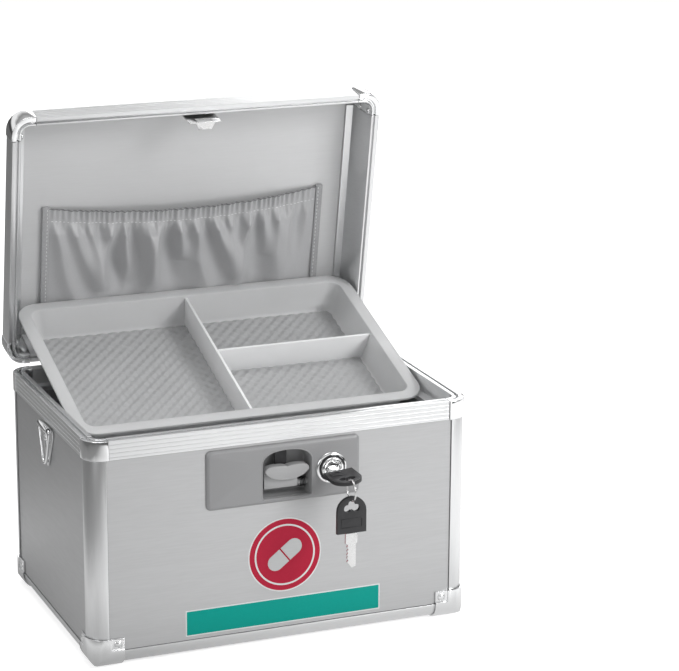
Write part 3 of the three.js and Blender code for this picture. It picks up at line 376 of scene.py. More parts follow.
def roundedOutline(low, high, radius, steps=6):
    centres = (
        (high[0] - radius, low[1] + radius, -90),
        (high[0] - radius, high[1] - radius, 0),
        (low[0] + radius, high[1] - radius, 90),
        (low[0] + radius, low[1] + radius, 180),
    )
    points = []
    for x, z, start in centres:
        for step in range(steps + 1):
            angle = math.radians(start + 90 * step / steps)
            points.append((x + radius * math.cos(angle), z + radius * math.sin(angle)))
    return points


# Grows an outline of (x, z) about its middle by a length.
def grown(outline, by):
    xs, zs = zip(*outline)
    middle = ((min(xs) + max(xs)) / 2, (min(zs) + max(zs)) / 2)
    shares = (1 + 2 * by / (max(xs) - min(xs)), 1 + 2 * by / (max(zs) - min(zs)))
    return [tuple(m + (at - m) * share for at, m, share in zip(point, middle, shares)) for point in outline]


# A closed loop of edges through (x, z) points, at a place along Y.
def addLoop(mesh, outline, y):
    verts = [mesh.verts.new((x, y, z)) for x, z in outline]
    return [mesh.edges.new(pair) for pair in zip(verts, verts[1:] + verts[:1])]


# Walls between outlines of equal count, each at its own place along Y.
def addWalls(mesh, rings):
    loops = [addLoop(mesh, outline, y) for outline, y in rings]
    for near, far in zip(loops, loops[1:]):
        bmesh.ops.bridge_loops(mesh, edges=near + far)
    return loops


# A flat face inside the first loop of edges and round the others.
def fillBetween(mesh, *loops):
    edges = [edge for loop in loops for edge in loop]
    bmesh.ops.triangle_fill(mesh, edges=edges, use_beauty=True, normal=(0, -1, 0))


def facedOut(mesh):
    bmesh.ops.recalc_face_normals(mesh, faces=mesh.faces)
    return mesh


# A round tube along a closed path that lies in a plane across X.
def addTube(mesh, path, radius, sides):
    sideways = Vector((1, 0, 0))
    loops = []
    for before, at, after in zip(path[-1:] + path[:-1], path, path[1:] + path[:1]):
        along = (Vector(after) - Vector(before)).normalized()
        turn = Matrix((-sideways, along.cross(sideways), -along)).transposed().to_4x4()
        centre = Matrix.Translation(Vector(at)) @ turn
        ring = bmesh.ops.create_circle(mesh, segments=sides, radius=radius, matrix=centre)["verts"]
        loops.append(list(dict.fromkeys(edge for vert in ring for edge in vert.link_edges)))
    for near, far in zip(loops, loops[1:] + loops[:1]):
        bmesh.ops.bridge_loops(mesh, edges=near + far)


# A turned piece about an axis along Y, from (radius, standing out to the front) points.
def turnedPiece(profile, x, front, z, steps=96, merge=0.001):
    mesh = bmesh.new()
    verts = [mesh.verts.new((x + radius, front - out, z)) for radius, out in profile]
    edges = [mesh.edges.new(pair) for pair in zip(verts, verts[1:])]
    bmesh.ops.spin(
        mesh,
        geom=verts + edges,
        cent=(x, front, z),
        axis=(0, 1, 0),
        angle=2 * math.pi,
        steps=steps,
        use_merge=True,
    )
    bmesh.ops.remove_doubles(mesh, verts=mesh.verts, dist=merge)
    return facedOut(mesh)


# The tray: a thin moulded shell with a lipped flange, two dividers and a diamond floor.
tray = {
    "width": 299,
    "depth": 190.7,
    "corner": 20,
    "cornerSegments": 12,
    "flange": 9,
    "wall": 1.6,
    "sheet": 1.36,
    "crease": 35,
    "creaseNear": 0.1,
    "creaseSegments": 4,
    "mouthSoft": 0.7,
    "footSoft": 2.4,
    "deep": 25.7,
    "draft": 6,
    "lip": ((0.15, 0.25), (0.35, 0.1), (1.3, 0)),
    "divider": 2.4,
    "dividerTuck": 0.6,
    "dividerSunk": 0.1,
    "dividerDrop": 2,
    "cross": 99.55,
    "crossDrop": 2.4,
    "diamond": 7.2,
    "diamondRise": 1.0,
    "diamondFade": 4,
    "diamondGrid": 1.3,
    "diamondLift": 0.05,
}


# The bends between two faces at a height, sharp enough to be rounded.
def creasesAt(mesh, height):
    return [
        edge
        for edge in mesh.edges
        if len(edge.link_faces) == 2
        and edge.calc_face_angle(0) > math.radians(tray["crease"])
        and all(abs(vert.co.z - height) < tray["creaseNear"] for vert in edge.verts)
    ]


def makeTrayShell():
    lipOut = sum(out for drop, out in tray["lip"])
    border = tray["flange"] + tray["wall"]
    width, depth = tray["width"] - 2 * lipOut, tray["depth"] - 2 * lipOut
    mesh = roundedSheet(width, depth, tray["corner"] - lipOut, tray["cornerSegments"])
    opening = mesh.faces[:][0]
    bmesh.ops.inset_region(mesh, faces=[opening], thickness=border - lipOut, use_boundary=True)
    made = bmesh.ops.extrude_face_region(mesh, geom=[opening])
    floor = [part for part in made["geom"] if isinstance(part, bmesh.types.BMFace)][0]
    bmesh.ops.delete(mesh, geom=[opening], context="FACES_ONLY")
    bmesh.ops.translate(mesh, vec=(0, 0, -tray["deep"]), verts=floor.verts)
    shrink = [1 - 2 * tray["draft"] / (tray[name] - 2 * border) for name in ("width", "depth")]
    bmesh.ops.scale(mesh, vec=(*shrink, 1), verts=floor.verts)
    for height, soft in ((0, tray["mouthSoft"]), (-tray["deep"], tray["footSoft"])):
        roundEdges(mesh, creasesAt(mesh, height), soft, tray["creaseSegments"])
    rim = [edge for edge in mesh.edges if edge.is_boundary]
    for drop, out in tray["lip"]:
        lip = bmesh.ops.extrude_edge_only(mesh, edges=rim)["geom"]
        low = [part for part in lip if isinstance(part, bmesh.types.BMVert)]
        rim = [part for part in lip if isinstance(part, bmesh.types.BMEdge) and part.is_boundary]
        bmesh.ops.translate(mesh, vec=(0, 0, -drop), verts=low)
        widen = (1 + 2 * out / tray["width"], 1 + 2 * out / tray["depth"], 1)
        bmesh.ops.scale(mesh, vec=widen, verts=low)
    facedOut(mesh)
    lowest = min(mesh.faces, key=lambda face: face.calc_center_median().z)
    if lowest.normal.z < 0:
        bmesh.ops.reverse_faces(mesh, faces=mesh.faces)
    bmesh.ops.solidify(mesh, geom=mesh.faces[:], thickness=tray["sheet"])
    bmesh.ops.translate(mesh, vec=(0, tray["depth"] / 2, 0), verts=mesh.verts)
    return mesh


trayPiece = addPiece("tray_shell", makeTrayShell(), "tray", trayPlastic, trayTurn)
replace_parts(trayPiece, "tray")


# A wall along an axis, its ends leaning out with the tray's draft, away from a fixed place.
def addDivider(mesh, low, high, axis, fixed):
    before = set(mesh.verts)
    addBlock(mesh, low, high)
    for vert in set(mesh.verts) - before:
        share = (vert.co.z + tray["deep"]) / tray["deep"]
        run = vert.co[axis] - fixed
        reach = (high if run > 0 else low)[axis] - fixed
        if reach:
            vert.co[axis] += share * tray["draft"] * run / abs(reach)


def makeDividers():
    mesh = bmesh.new()
    half = tray["divider"] / 2
    foot = tray["flange"] + tray["wall"] + tray["draft"] - tray["dividerTuck"]
    side = tray["width"] / 2 - foot
    low = -tray["deep"] + tray["dividerSunk"]
    long = ((-half, foot, low), (half, tray["depth"] - foot, -tray["dividerDrop"]))
    addDivider(mesh, *long, 1, tray["depth"] / 2)
    start = half + tray["dividerSunk"]
    cross = ((start, tray["cross"] - half, low), (side, tray["cross"] + half, -tray["crossDrop"]))
    addDivider(mesh, *cross, 0, start)
    return mesh


addPiece("tray_dividers", makeDividers(), "tray", trayDividerPaintedLight, trayTurn)


# The soft diamond pattern moulded into the tray's floor.
def makeDiamonds():
    mesh = bmesh.new()
    edge = tray["flange"] + tray["draft"] + tray["wall"]
    width, depth = tray["width"] - 2 * edge, tray["depth"] - 2 * edge
    columns, rows = (int(length / tray["diamondGrid"]) for length in (width, depth))
    bmesh.ops.create_grid(mesh, x_segments=columns, y_segments=rows, size=0.5)
    bmesh.ops.scale(mesh, vec=(width, depth, 1), verts=mesh.verts)
    turn = math.pi * math.sqrt(2) / tray["diamond"]
    for vert in mesh.verts:
        wave = 1 + math.cos(vert.co.x * turn) * math.cos(vert.co.y * turn)
        inside = min(width / 2 - abs(vert.co.x), depth / 2 - abs(vert.co.y))
        vert.co.z = tray["diamondRise"] * wave * min(1, inside / tray["diamondFade"])
    floor = (0, tray["depth"] / 2, tray["diamondLift"] - tray["deep"])
    bmesh.ops.translate(mesh, vec=floor, verts=mesh.verts)
    return mesh


addPiece("tray_floor_diamonds", makeDiamonds(), "tray", trayFloorPaintedShade, trayTurn, smooth=80)
print("scene: tray")

# The pocket on the lid's lining: satin cloth gathered on an elastic, sewn down at its sides and foot.
pocket = {
    "width": 250,
    "top": -17,
    "bottom": 87,
    "sag": 8,
    "hem": 11,
    "columns": 360,
    "rows": 80,
    "behind": 0.4,
    "least": 1.0,
    "puff": 7.0,
    "puffFall": 0.8,
    "flatEnds": 8,
    "binding": 6,
    "bindingOver": 1,
    "bindingRise": 3.4,
    "bindingBehind": 0.3,
    "bindingSoft": 0.8,
    # Size and rows of the dark bead of painted shadow along the upper edge.
    "shadowBead": 0.5,
    "shadowBeadRows": 6,
    "stitch": 1.7,
    "thread": 0.4,
    "stitchLift": 0.1,
    "stitchInset": 0.7,
    "firstStitch": 2,
}
# How a fold widens and wanders towards the foot, the form of its crest and of the dip beside it.
fold = {
    "narrow": 1.5,
    "widen": 2.3,
    "wander": 0.012,
    "wanderTurns": 7,
    "wanderStart": 40,
    "fade": 0.7,
    "crest": 1.7,
    "dip": 0.35,
    "dipAt": 1.9,
    "strength": 1.9,
    "atHem": 0.15,
    "growth": 9,
}
# Puckers from the elastic down past the hem's seam, where they are pinched.
pucker = {"count": 54, "rise": 1.0, "reach": 2.2, "sway": 1.3, "swayTurns": 31, "seam": 0.35, "atSeam": 0.25}
# Folds from left to right: where each leaves the hem, its drift to the foot, half width, reach and rise.
foldKinds = (
    (0.035, 0.10, 0.013, 1.1, 5.5),
    (0.095, 0.13, 0.016, 1.1, 6.5),
    (0.155, 0.10, 0.012, 0.8, 5.5),
    (0.235, -0.05, 0.012, 0.7, 5.5),
    (0.280, 0.02, 0.010, 1.0, 5.0),
    (0.353, 0.07, 0.013, 0.9, 6.0),
    (0.405, -0.06, 0.014, 1.0, 6.0),
    (0.470, 0.05, 0.010, 0.45, 5.0),
    (0.525, 0.07, 0.014, 1.0, 6.0),
    (0.595, 0.12, 0.013, 0.8, 6.0),
    (0.650, 0.06, 0.012, 0.7, 5.5),
    (0.725, -0.04, 0.013, 1.1, 6.5),
    (0.775, 0.03, 0.010, 0.5, 4.5),
    (0.825, 0.03, 0.016, 1.0, 5.5),
    (0.885, -0.03, 0.014, 0.8, 4.5),
    (0.945, -0.02, 0.014, 0.9, 4.0),
)
pocketTall = pocket["bottom"] - pocket["top"]
hemShare = pocket["hem"] / pocketTall


# How far the cloth stands off the lining, at shares of its width from the left and of its height down.
def clothStand(u, v):
    middle = 1 - abs(2 * u - 1) ** pocket["flatEnds"]
    below = max(0.0, (v - hemShare) / (1 - hemShare))
    bulge = (1 - (2 * u - 1) ** 2) * (1 - v) ** pocket["puffFall"]
    stand = pocket["least"] + pocket["puff"] * bulge
    grow = fold["atHem"] + (1 - fold["atHem"]) * min(1.0, below * fold["growth"])
    for at, drift, half, reach, rise in foldKinds:
        width = half * (fold["narrow"] + fold["widen"] * below)
        wander = fold["wander"] * math.sin(fold["wanderTurns"] * below + fold["wanderStart"] * at)
        offset = (u - at - drift * below - wander * below) / width
        fade = max(0.0, 1 - below / reach) ** fold["fade"]
        dip = fold["dip"] * math.exp(-((offset - fold["dipAt"]) ** 2))
        crest = math.exp(-abs(offset) ** fold["crest"]) - dip
        stand += fold["strength"] * rise * crest * fade * grow * middle
    reach = hemShare * pucker["reach"]
    if v < reach:
        sway = pucker["sway"] * math.sin(u * pucker["swayTurns"])
        wave = math.sin(u * pucker["count"] * 2 * math.pi + sway)
        pinch = min(1.0, abs(v - hemShare) / (hemShare * pucker["seam"]))
        left = pucker["atSeam"] + (1 - pucker["atSeam"]) * pinch
        stand += pucker["rise"] * wave * (1 - v / reach) * left * middle
    return stand


def onCloth(u, v, lift=0.0):
    top = pocket["top"] + pocket["sag"] * (1 - (2 * u - 1) ** 2)
    y = top + (pocket["bottom"] - top) * v
    z = place["liningHeight"] - pocket["behind"] - clothStand(u, v) - lift
    return Vector(((u - 0.5) * pocket["width"], y, z))


def makePocket():
    mesh = bmesh.new()
    bmesh.ops.create_grid(mesh, x_segments=pocket["columns"], y_segments=pocket["rows"], size=0.5)
    for vert in mesh.verts:
        vert.co = onCloth(vert.co.x + 0.5, vert.co.y + 0.5)
    return mesh


pocketPiece = addPiece("lid_pocket_cloth", makePocket(), "lid", cloth, lidTurn, smooth=180)
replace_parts(pocketPiece, "lid_pocket")


def makeBindings():
    mesh = bmesh.new()
    near = place["liningHeight"] - pocket["bindingRise"]
    behind = place["liningHeight"] - pocket["bindingBehind"]
    for side in (-1, 1):
        outer = side * pocket["width"] / 2
        left, right = sorted((outer, outer - side * pocket["binding"]))
        low = (left, pocket["top"] - pocket["bindingOver"], near)
        addBlock(mesh, low, (right, pocket["bottom"], behind), pocket["bindingSoft"])
    return mesh


addPiece("lid_pocket_bindings", makeBindings(), "lid", binding, lidTurn)


# A dark bead along the cloth's upper edge, which is turned over the elastic: a painted shadow under that
# edge.
def makePaintedShadowBead():
    mesh = bmesh.new()
    share = 2 * pocket["shadowBead"] / pocketTall
    bmesh.ops.create_grid(mesh, x_segments=pocket["columns"], y_segments=pocket["shadowBeadRows"], size=0.5)
    for vert in mesh.verts:
        lift = pocket["shadowBead"] * math.cos(math.pi * vert.co.y)
        vert.co = onCloth(vert.co.x + 0.5, share * vert.co.y, lift)
    return mesh


# The bead takes the dark seam finish as painted shadow.
addPiece("lid_pocket_painted_shadow", makePaintedShadowBead(), "lid", seam, lidTurn, smooth=180)


# White stitches along the hem and down both bindings.
def makeStitches():
    mesh = bmesh.new()
    stitch, thread = pocket["stitch"], pocket["thread"]
    size = Vector((stitch, thread, thread))
    count = int(pocket["width"] / (2 * stitch))
    for number in range(pocket["firstStitch"], count - pocket["firstStitch"]):
        at = onCloth((number + 0.5) / count, hemShare, pocket["stitchLift"])
        addBlock(mesh, at - size / 2, at + size / 2, 0)
    front = place["liningHeight"] - pocket["bindingRise"]
    for side in (-1, 1):
        x = side * (pocket["width"] / 2 - pocket["binding"] * pocket["stitchInset"])
        for number in range(int(pocketTall / (2 * stitch))):
            y = pocket["top"] + (2 * number + 0.5) * stitch
            low = (x - thread / 2, y, front - thread / 2)
            addBlock(mesh, low, (x + thread / 2, y + stitch, front + pocket["stitchLift"]), 0)
    return mesh


addPiece("lid_pocket_stitches", makeStitches(), "lid", paleVinyl, lidTurn)

# Rivet heads on the lid's inner side walls, which lean, two beside each corner.
rivet = {
    "radius": 2.8,
    "rise": 1.7,
    "fromEnd": 17,
    "heights": (5, 19),
    "halfWidth": 160,
    "halfDepth": 109,
    "lidFoot": 187.5,
    "wall": 8,
    "draft": 4,
    "tall": 28.7,
    "around": 20,
    "rings": 12,
}


def makeRivets():
    mesh = bmesh.new()
    radius, around, rings = (rivet[name] for name in ("radius", "around", "rings"))
    y = rivet["halfDepth"] - rivet["fromEnd"]
    for height in rivet["heights"]:
        x = rivet["halfWidth"] - rivet["wall"] - rivet["draft"] * height / rivet["tall"]
        for at in ((-x, -y), (-x, y), (x, -y), (x, y)):
            ball = bmesh.ops.create_uvsphere(mesh, u_segments=around, v_segments=rings, radius=radius)
            head = ball["verts"]
            bmesh.ops.scale(mesh, vec=(rivet["rise"] / radius, 1, 1), verts=head)
            bmesh.ops.translate(mesh, vec=(*at, rivet["lidFoot"] + height), verts=head)
    return mesh


addPiece("lid_corner_rivets", makeRivets(), "lid", chrome, lidTurn, smooth=60)


# Four bars round a rectangle, as pairs of corners: below, above, then at both ends between them.
def barsRound(low, high, line):
    left, bottom = low
    right, top = high
    return (
        ((left, bottom), (right, bottom + line)),
        ((left, top - line), (right, top)),
        ((left, bottom + line), (left + line, top - line)),
        ((right - line, bottom + line), (right, top - line)),
    )


# Dark joints where the base's boards run into the frame.
joint = {"tuck": 4, "line": 0.45, "proud": 0.12, "sunk": 0.1}


def makeJoints(side):
    mesh = bmesh.new()
    low, high = (Vector(end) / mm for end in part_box("base_panel_" + side))
    out = 1 if side in ("front", "back") else 0
    along = 1 - out
    sign = -1 if side in ("front", "left") else 1
    face = (low if sign < 0 else high)[out]
    depths = sorted((face - sign * joint["sunk"], face + sign * joint["proud"]))
    tuck = joint["tuck"]
    first, last = (low[along] + tuck, low.z + tuck), (high[along] - tuck, high.z - tuck)
    for bar in barsRound(first, last, joint["line"]):
        corners = []
        for (at, height), depth in zip(bar, depths):
            corner = Vector((0, 0, height))
            corner[along], corner[out] = at, depth
            corners.append(corner)
        addBlock(mesh, *corners, 0)
    return mesh


for side in ("front", "back", "left", "right"):
    addPiece("board_joint_" + side, makeJoints(side), "base", seam)

# The latch's plate with its finger recess, and the paddle in it.
plate = {
    "width": 129,
    "height": 48.8,
    "top": 169,
    "corner": 4,
    "soften": ((0.1, 1.9), (0.6, 1.2), (2.3, 0.2), (2.8, 0)),
    "proud": 2.5,
    "bodyLeft": -24,
    "bodyRight": 53.9,
    "bodyLow": 124.4,
    "bodyHigh": 165.6,
    "bodyBack": 17.5,
    "bodyCorner": 1,
}
recess = {
    "left": -17.7,
    "right": 23.2,
    "low": 124.4,
    "spring": 152,
    "high": 163.2,
    "corner": 2.2,
    "cornerSteps": 5,
    "archSteps": 14,
    "depth": 14.4,
    "lip": ((1.1, 0), (0.8, -0.25), (0.3, -0.15), (0, 0.6)),
    "foot": ((-0.8, -1), (-1.8, 0)),
}
paddle = {
    "centre": 3.1,
    "half": 18.7,
    "low": 138.1,
    "high": 150.4,
    "tip": 145.7,
    "dip": 149.2,
    "bump": 10.1,
    "notch": 0.2,
    "belly": 14.2,
    "front": -109.6,
    "thickness": 6.5,
    "soft": 0.9,
    "round": 0.3,
    "webLeft": -15.3,
    "webRight": 12.7,
    "webFront": -106.35,
    "webBack": -103.1,
    "webLow": 131.1,
    "webHigh": 145.1,
    "webSoft": 0.5,
    "armFront": -106.25,
    "armHigh": 139,
    "pivotY": -100.6,
    "pivotZ": 132.5,
    "shaft": 2.6,
    "shaftShort": 0.6,
    "shaftSides": 24,
    "bellySteps": 14,
    "endSteps": 10,
    "notchSteps": 8,
}


def recessOutline():
    left, right, low = recess["left"], recess["right"], recess["low"]
    spring, high, corner = recess["spring"], recess["high"], recess["corner"]
    few, many = recess["cornerSteps"], recess["archSteps"]
    middle = (left + right) / 2
    points = bend((left, low + corner), (left, low), (left + corner, low), few)
    points += bend((right - corner, low), (right, low), (right, low + corner), few)
    points += bend((right, spring), (right, high), (middle, high), many)
    return points + bend((middle, high), (left, high), (left, spring), many) + [(left, spring)]


def makePlate():
    mesh = bmesh.new()
    face = place["plateFront"]
    low = (-plate["width"] / 2, plate["top"] - plate["height"])
    high = (plate["width"] / 2, plate["top"])
    outer = roundedOutline(low, high, plate["corner"])
    rings = [(outer, face + plate["proud"])]
    rings += [(grown(outer, -inset), face + sunk) for inset, sunk in plate["soften"]]
    border = addWalls(mesh, rings)
    opening = recessOutline()
    rings = [(grown(opening, by), face + sunk) for by, sunk in recess["lip"]]
    rings += [(grown(opening, by), face + recess["depth"] + sunk) for by, sunk in recess["foot"]]
    cup = addWalls(mesh, rings)
    fillBetween(mesh, border[-1], cup[0])
    low, high = (plate["bodyLeft"], plate["bodyLow"]), (plate["bodyRight"], plate["bodyHigh"])
    body = roundedOutline(low, high, plate["bodyCorner"])
    shell = addWalls(mesh, [(body, face + plate["proud"]), (body, face + plate["bodyBack"])])
    for end in (cup[-1], shell[-1]):
        bmesh.ops.edgeloop_fill(mesh, edges=end)
    return facedOut(mesh)


platePiece = addPiece("lock_plate", makePlate(), "base", platePlastic, smooth=24)
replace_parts(platePiece, "latch_housing")


def paddleOutline():
    c, half, bump, belly = paddle["centre"], paddle["half"], paddle["bump"], paddle["belly"]
    low, high, tip, dip = paddle["low"], paddle["high"], paddle["tip"], paddle["dip"]
    notch = bump * paddle["notch"]
    below, beside, above = paddle["bellySteps"], paddle["endSteps"], paddle["notchSteps"]
    points = bend((c - half, tip), (c - belly, low), (c, low), below)
    points += bend((c, low), (c + belly, low), (c + half, tip), below)
    points += bend((c + half, tip), (c + half, high), (c + bump, high), beside)
    points += bend((c + bump, high), (c + notch, high), (c, dip), above)
    points += bend((c, dip), (c - notch, high), (c - bump, high), above)
    return points + bend((c - bump, high), (c - half, high), (c - half, tip), beside)


def makePaddle():
    mesh = bmesh.new()
    outline = paddleOutline()
    front, soft = paddle["front"], paddle["soft"]
    slight = soft * paddle["round"]
    rings = [
        (grown(outline, -soft), front),
        (grown(outline, -slight), front + slight),
        (outline, front + soft),
        (outline, front + paddle["thickness"]),
    ]
    made = addWalls(mesh, rings)
    fillBetween(mesh, made[0])
    fillBetween(mesh, made[-1])
    left, right, low = paddle["webLeft"], paddle["webRight"], paddle["webLow"]
    web = ((left, paddle["webFront"], low), (right, paddle["webBack"], paddle["webHigh"]))
    arm = ((left, paddle["armFront"], low), (right, paddle["pivotY"], paddle["armHigh"]))
    for block in (web, arm):
        addBlock(mesh, *block, paddle["webSoft"])
    shaft = bmesh.ops.create_cone(
        mesh,
        cap_ends=True,
        segments=paddle["shaftSides"],
        radius1=paddle["shaft"],
        radius2=paddle["shaft"],
        depth=recess["right"] - recess["left"] - paddle["shaftShort"],
    )["verts"]
    bmesh.ops.rotate(mesh, matrix=Matrix.Rotation(math.radians(90), 3, "Y"), verts=shaft)
    at = ((recess["right"] + recess["left"]) / 2, paddle["pivotY"], paddle["pivotZ"])
    bmesh.ops.translate(mesh, vec=at, verts=shaft)
    return facedOut(mesh)


paddlePiece = addPiece("latch_paddle", makePaddle(), "lever", leverPlastic, smooth=30)
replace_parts(paddlePiece, "latch_lever")
print("scene: latch")

# The lock's turned bezel and barrel, and a near-black ring in the groove between its flange and its inner
# ring, as painted shade.
lock = {"x": 39.8, "z": 144.5, "bore": 5.7, "body": 8.2, "length": 18.5}
bezelProfile = (
    (13.0, 0.0),
    (13.0, 0.7),
    (12.6, 1.4),
    (11.9, 1.9),
    (11.3, 2.1),
    (10.7, 1.8),
    (10.4, 1.1),
    (9.5, 1.3),
    (9.3, 3.4),
    (8.9, 4.1),
    (8.2, 4.5),
    (7.0, 4.4),
    (6.2, 4.0),
    (lock["bore"], 3.6),
    (lock["bore"], -lock["length"]),
    (lock["body"], -lock["length"]),
    (lock["body"], 0.0),
)
grooveProfile = ((10.8, 1.0), (10.8, 1.95), (9.2, 1.95), (9.2, 1.0), (10.8, 1.0))
bezelMesh = turnedPiece(bezelProfile, lock["x"], place["plateFront"], lock["z"])
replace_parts(addPiece("lock_bezel", bezelMesh, "base", chrome, smooth=40), "lock_barrel")
grooveMesh = turnedPiece(grooveProfile, lock["x"], place["plateFront"], lock["z"])
# The dark ring in the groove is painted shade.
addPiece("lock_groove_painted_shade", grooveMesh, "base", darkSteelPaintedShade, smooth=40)

# The raised frame of a bare label on both sides of each key's bow.
label = {
    "width": 18,
    "length": 8,
    "from": 4.2,
    "line": 0.7,
    "proud": 0.35,
    "sunk": 0.1,
    "soft": 0.12,
    "bow": 3,
}


def makeLabel():
    mesh = bmesh.new()
    half, face = label["width"] / 2, label["bow"] / 2
    first, last = (-half, label["from"]), (half, label["from"] + label["length"])
    for sign in (-1, 1):
        heights = sorted((sign * (face - label["sunk"]), sign * (face + label["proud"])))
        for low, high in barsRound(first, last, label["line"]):
            addBlock(mesh, (*low, heights[0]), (*high, heights[1]), label["soft"])
    return mesh


# The middle of a bow's end, on the low (0) or high (1) side of an axis, turned as the bow is.
def bowPlace(node, turn, axis, end):
    corners = [Vector(corner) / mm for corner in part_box(node)]
    middle = (corners[0] + corners[1]) / 2
    middle[axis] = corners[end][axis]
    return Matrix.Translation(middle) @ turn


keyPlace = bowPlace("key_bow", Matrix.Rotation(math.pi, 4, "Z"), 1, 1)
sparePlace = bowPlace("spare_key_bow", Matrix.Rotation(math.pi / 2, 4, "X"), 2, 0)
addPiece("key_bow_label", makeLabel(), "key", blackPlastic, keyPlace)
addPiece("spare_key_bow_label", makeLabel(), "spare_key", blackPlastic, sparePlace)

# The split ring of the keys, two turns of wire side by side.
keyRing = {"y": -152.4, "z": 138.5, "radius": 8.6, "wire": 0.36, "steps": 72, "sides": 10}


# Points (a, b) round a circle about a centre.
def circleAt(a, b, radius, steps=72):
    turns = [2 * math.pi * step / steps for step in range(steps)]
    return [(a + radius * math.cos(turn), b + radius * math.sin(turn)) for turn in turns]


def makeKeyRing():
    mesh = bmesh.new()
    circle = circleAt(keyRing["y"], keyRing["z"], keyRing["radius"], keyRing["steps"])
    for side in (-1, 1):
        x = lock["x"] + side * keyRing["wire"]
        addTube(mesh, [(x, y, z) for y, z in circle], keyRing["wire"], keyRing["sides"])
    return facedOut(mesh)


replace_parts(addPiece("key_split_ring", makeKeyRing(), "ring", steel, smooth=60), "key_ring")

# The side rings: a straight bar through the bracket's knuckle, closed below by a rounded V.
sideRing = {
    "x": 162.75,
    "z": 168.5,
    "half": 15,
    "bar": (-0.4, -0.2, 0, 0.2, 0.4),
    "bend": 4,
    "bendSteps": 8,
    "legSteps": 6,
    "tip": 5,
    "tipSteps": 12,
    "drop": 30,
    "wire": 1.25,
    "sides": 14,
}


def sideRingPath(x):
    half, turn, tip, drop = (sideRing[name] for name in ("half", "bend", "tip", "drop"))
    shoulder = (half - (half - tip) / drop * turn, -turn)
    foot, otherFoot = (tip, tip / 2 - drop), (-tip, tip / 2 - drop)
    between = ((shoulder[0] + foot[0]) / 2, (shoulder[1] + foot[1]) / 2)
    right = bend((half - turn, 0), (half, 0), shoulder, sideRing["bendSteps"])
    right += bend(shoulder, between, foot, sideRing["legSteps"])
    points = [(half * share, 0) for share in sideRing["bar"]] + right
    points += bend(foot, (0, -drop - tip / 2), otherFoot, sideRing["tipSteps"])
    points += [otherFoot] + [(-y, up) for y, up in reversed(right)]
    return [(x, y, sideRing["z"] + up) for y, up in points]


for side, sign in (("left", -1), ("right", 1)):
    mesh = bmesh.new()
    addTube(mesh, sideRingPath(sign * sideRing["x"]), sideRing["wire"], sideRing["sides"])
    made = addPiece("strap_loop_" + side, facedOut(mesh), side + "_strap_ring", chrome, smooth=60)
    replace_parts(made, "strap_ring_" + side)
print("scene: lock, keys and rings")

# The strip and the badge on the front board: thin printed films.
film = {"thick": 0.12, "sunk": 0.05, "soft": 0.03}
strip = {"left": -82, "right": 83.7, "bottom": 17.6, "top": 39.2, "border": 0.9}
badge = {"x": 1.5, "z": 75.3, "radius": 31, "edge": 1.1, "ringOut": 25.6, "ringIn": 24.2}
capsule = {"length": 33, "width": 13.5, "tilt": 38, "split": 1.3, "steps": 24}


def makeStrip(inset, layer):
    mesh = bmesh.new()
    face = place["boardFace"]
    low = (strip["left"] + inset, face - film["thick"] * layer, strip["bottom"] + inset)
    high = (strip["right"] - inset, face + film["sunk"], strip["top"] - inset)
    addBlock(mesh, low, high, film["soft"])
    return mesh


addPiece("front_strip_border", makeStrip(0, 1), "base", paleVinyl)
addPiece("front_strip", makeStrip(strip["border"], 2), "base", tealVinyl)


# A film in the badge's plane, between an outline and the ones cut out of it.
def makeFilm(layer, *outlines):
    mesh = bmesh.new()
    y = place["boardFace"]
    walls = [addWalls(mesh, [(outline, y), (outline, y - film["thick"] * layer)]) for outline in outlines]
    fillBetween(mesh, *(loops[-1] for loops in walls))
    return facedOut(mesh)


# Half a capsule's outline, its straight end a little off the middle, turned into the badge.
def halfCapsule(sign):
    radius, half = capsule["width"] / 2, capsule["length"] / 2
    points = [(capsule["split"] / 2, -radius)]
    for step in range(capsule["steps"] + 1):
        angle = math.radians(-90 + 180 * step / capsule["steps"])
        points.append((half - radius + radius * math.cos(angle), radius * math.sin(angle)))
    points.append((capsule["split"] / 2, radius))
    turn = math.radians(capsule["tilt"] + (180 if sign < 0 else 0))
    return [
        (
            badge["x"] + a * math.cos(turn) - b * math.sin(turn),
            badge["z"] + a * math.sin(turn) + b * math.cos(turn),
        )
        for a, b in points
    ]


disc, field, ringOut, ringIn = (
    circleAt(badge["x"], badge["z"], radius)
    for radius in (badge["radius"], badge["radius"] - badge["edge"], badge["ringOut"], badge["ringIn"])
)
addPiece("badge_edge", makeFilm(1, disc), "base", paleVinyl)
addPiece("badge_field", makeFilm(2, field), "base", crimsonVinyl)
addPiece("badge_ring", makeFilm(3, ringOut, ringIn), "base", paleVinyl)
for name, sign in (("upper", 1), ("lower", -1)):
    addPiece("badge_capsule_" + name, makeFilm(3, halfCapsule(sign)), "base", boardAlongX)
print("scene: strip and badge")


# Floor, lamps and surroundings


# The floor looks white to the camera. Metal sees it lit in front of the box and dim beside it, by the
# distance from the box's foot, and by the heading from a place behind it, compared with the lit one.
stage = {
    "size": 12,
    "tone": 0.82,
    "roughness": 0.9,
    "glow": 0.62,
    "box": (0.16, 0.11, 0),
    "reach": 1.5,
    "front": ((0.0, 0.8), (0.08, 1.25), (0.6, 1.42), (0.75, 1.3), (1.0, 0.1)),
    "side": ((0.0, 0.3), (0.07, 0.85), (0.2, 0.3), (1.0, 0.15)),
    "from": (0, 0.45, 0),
    "turnDim": 0.38,
    "turnLit": 0.97,
    "toward": (0.6, -0.8, 0),
}


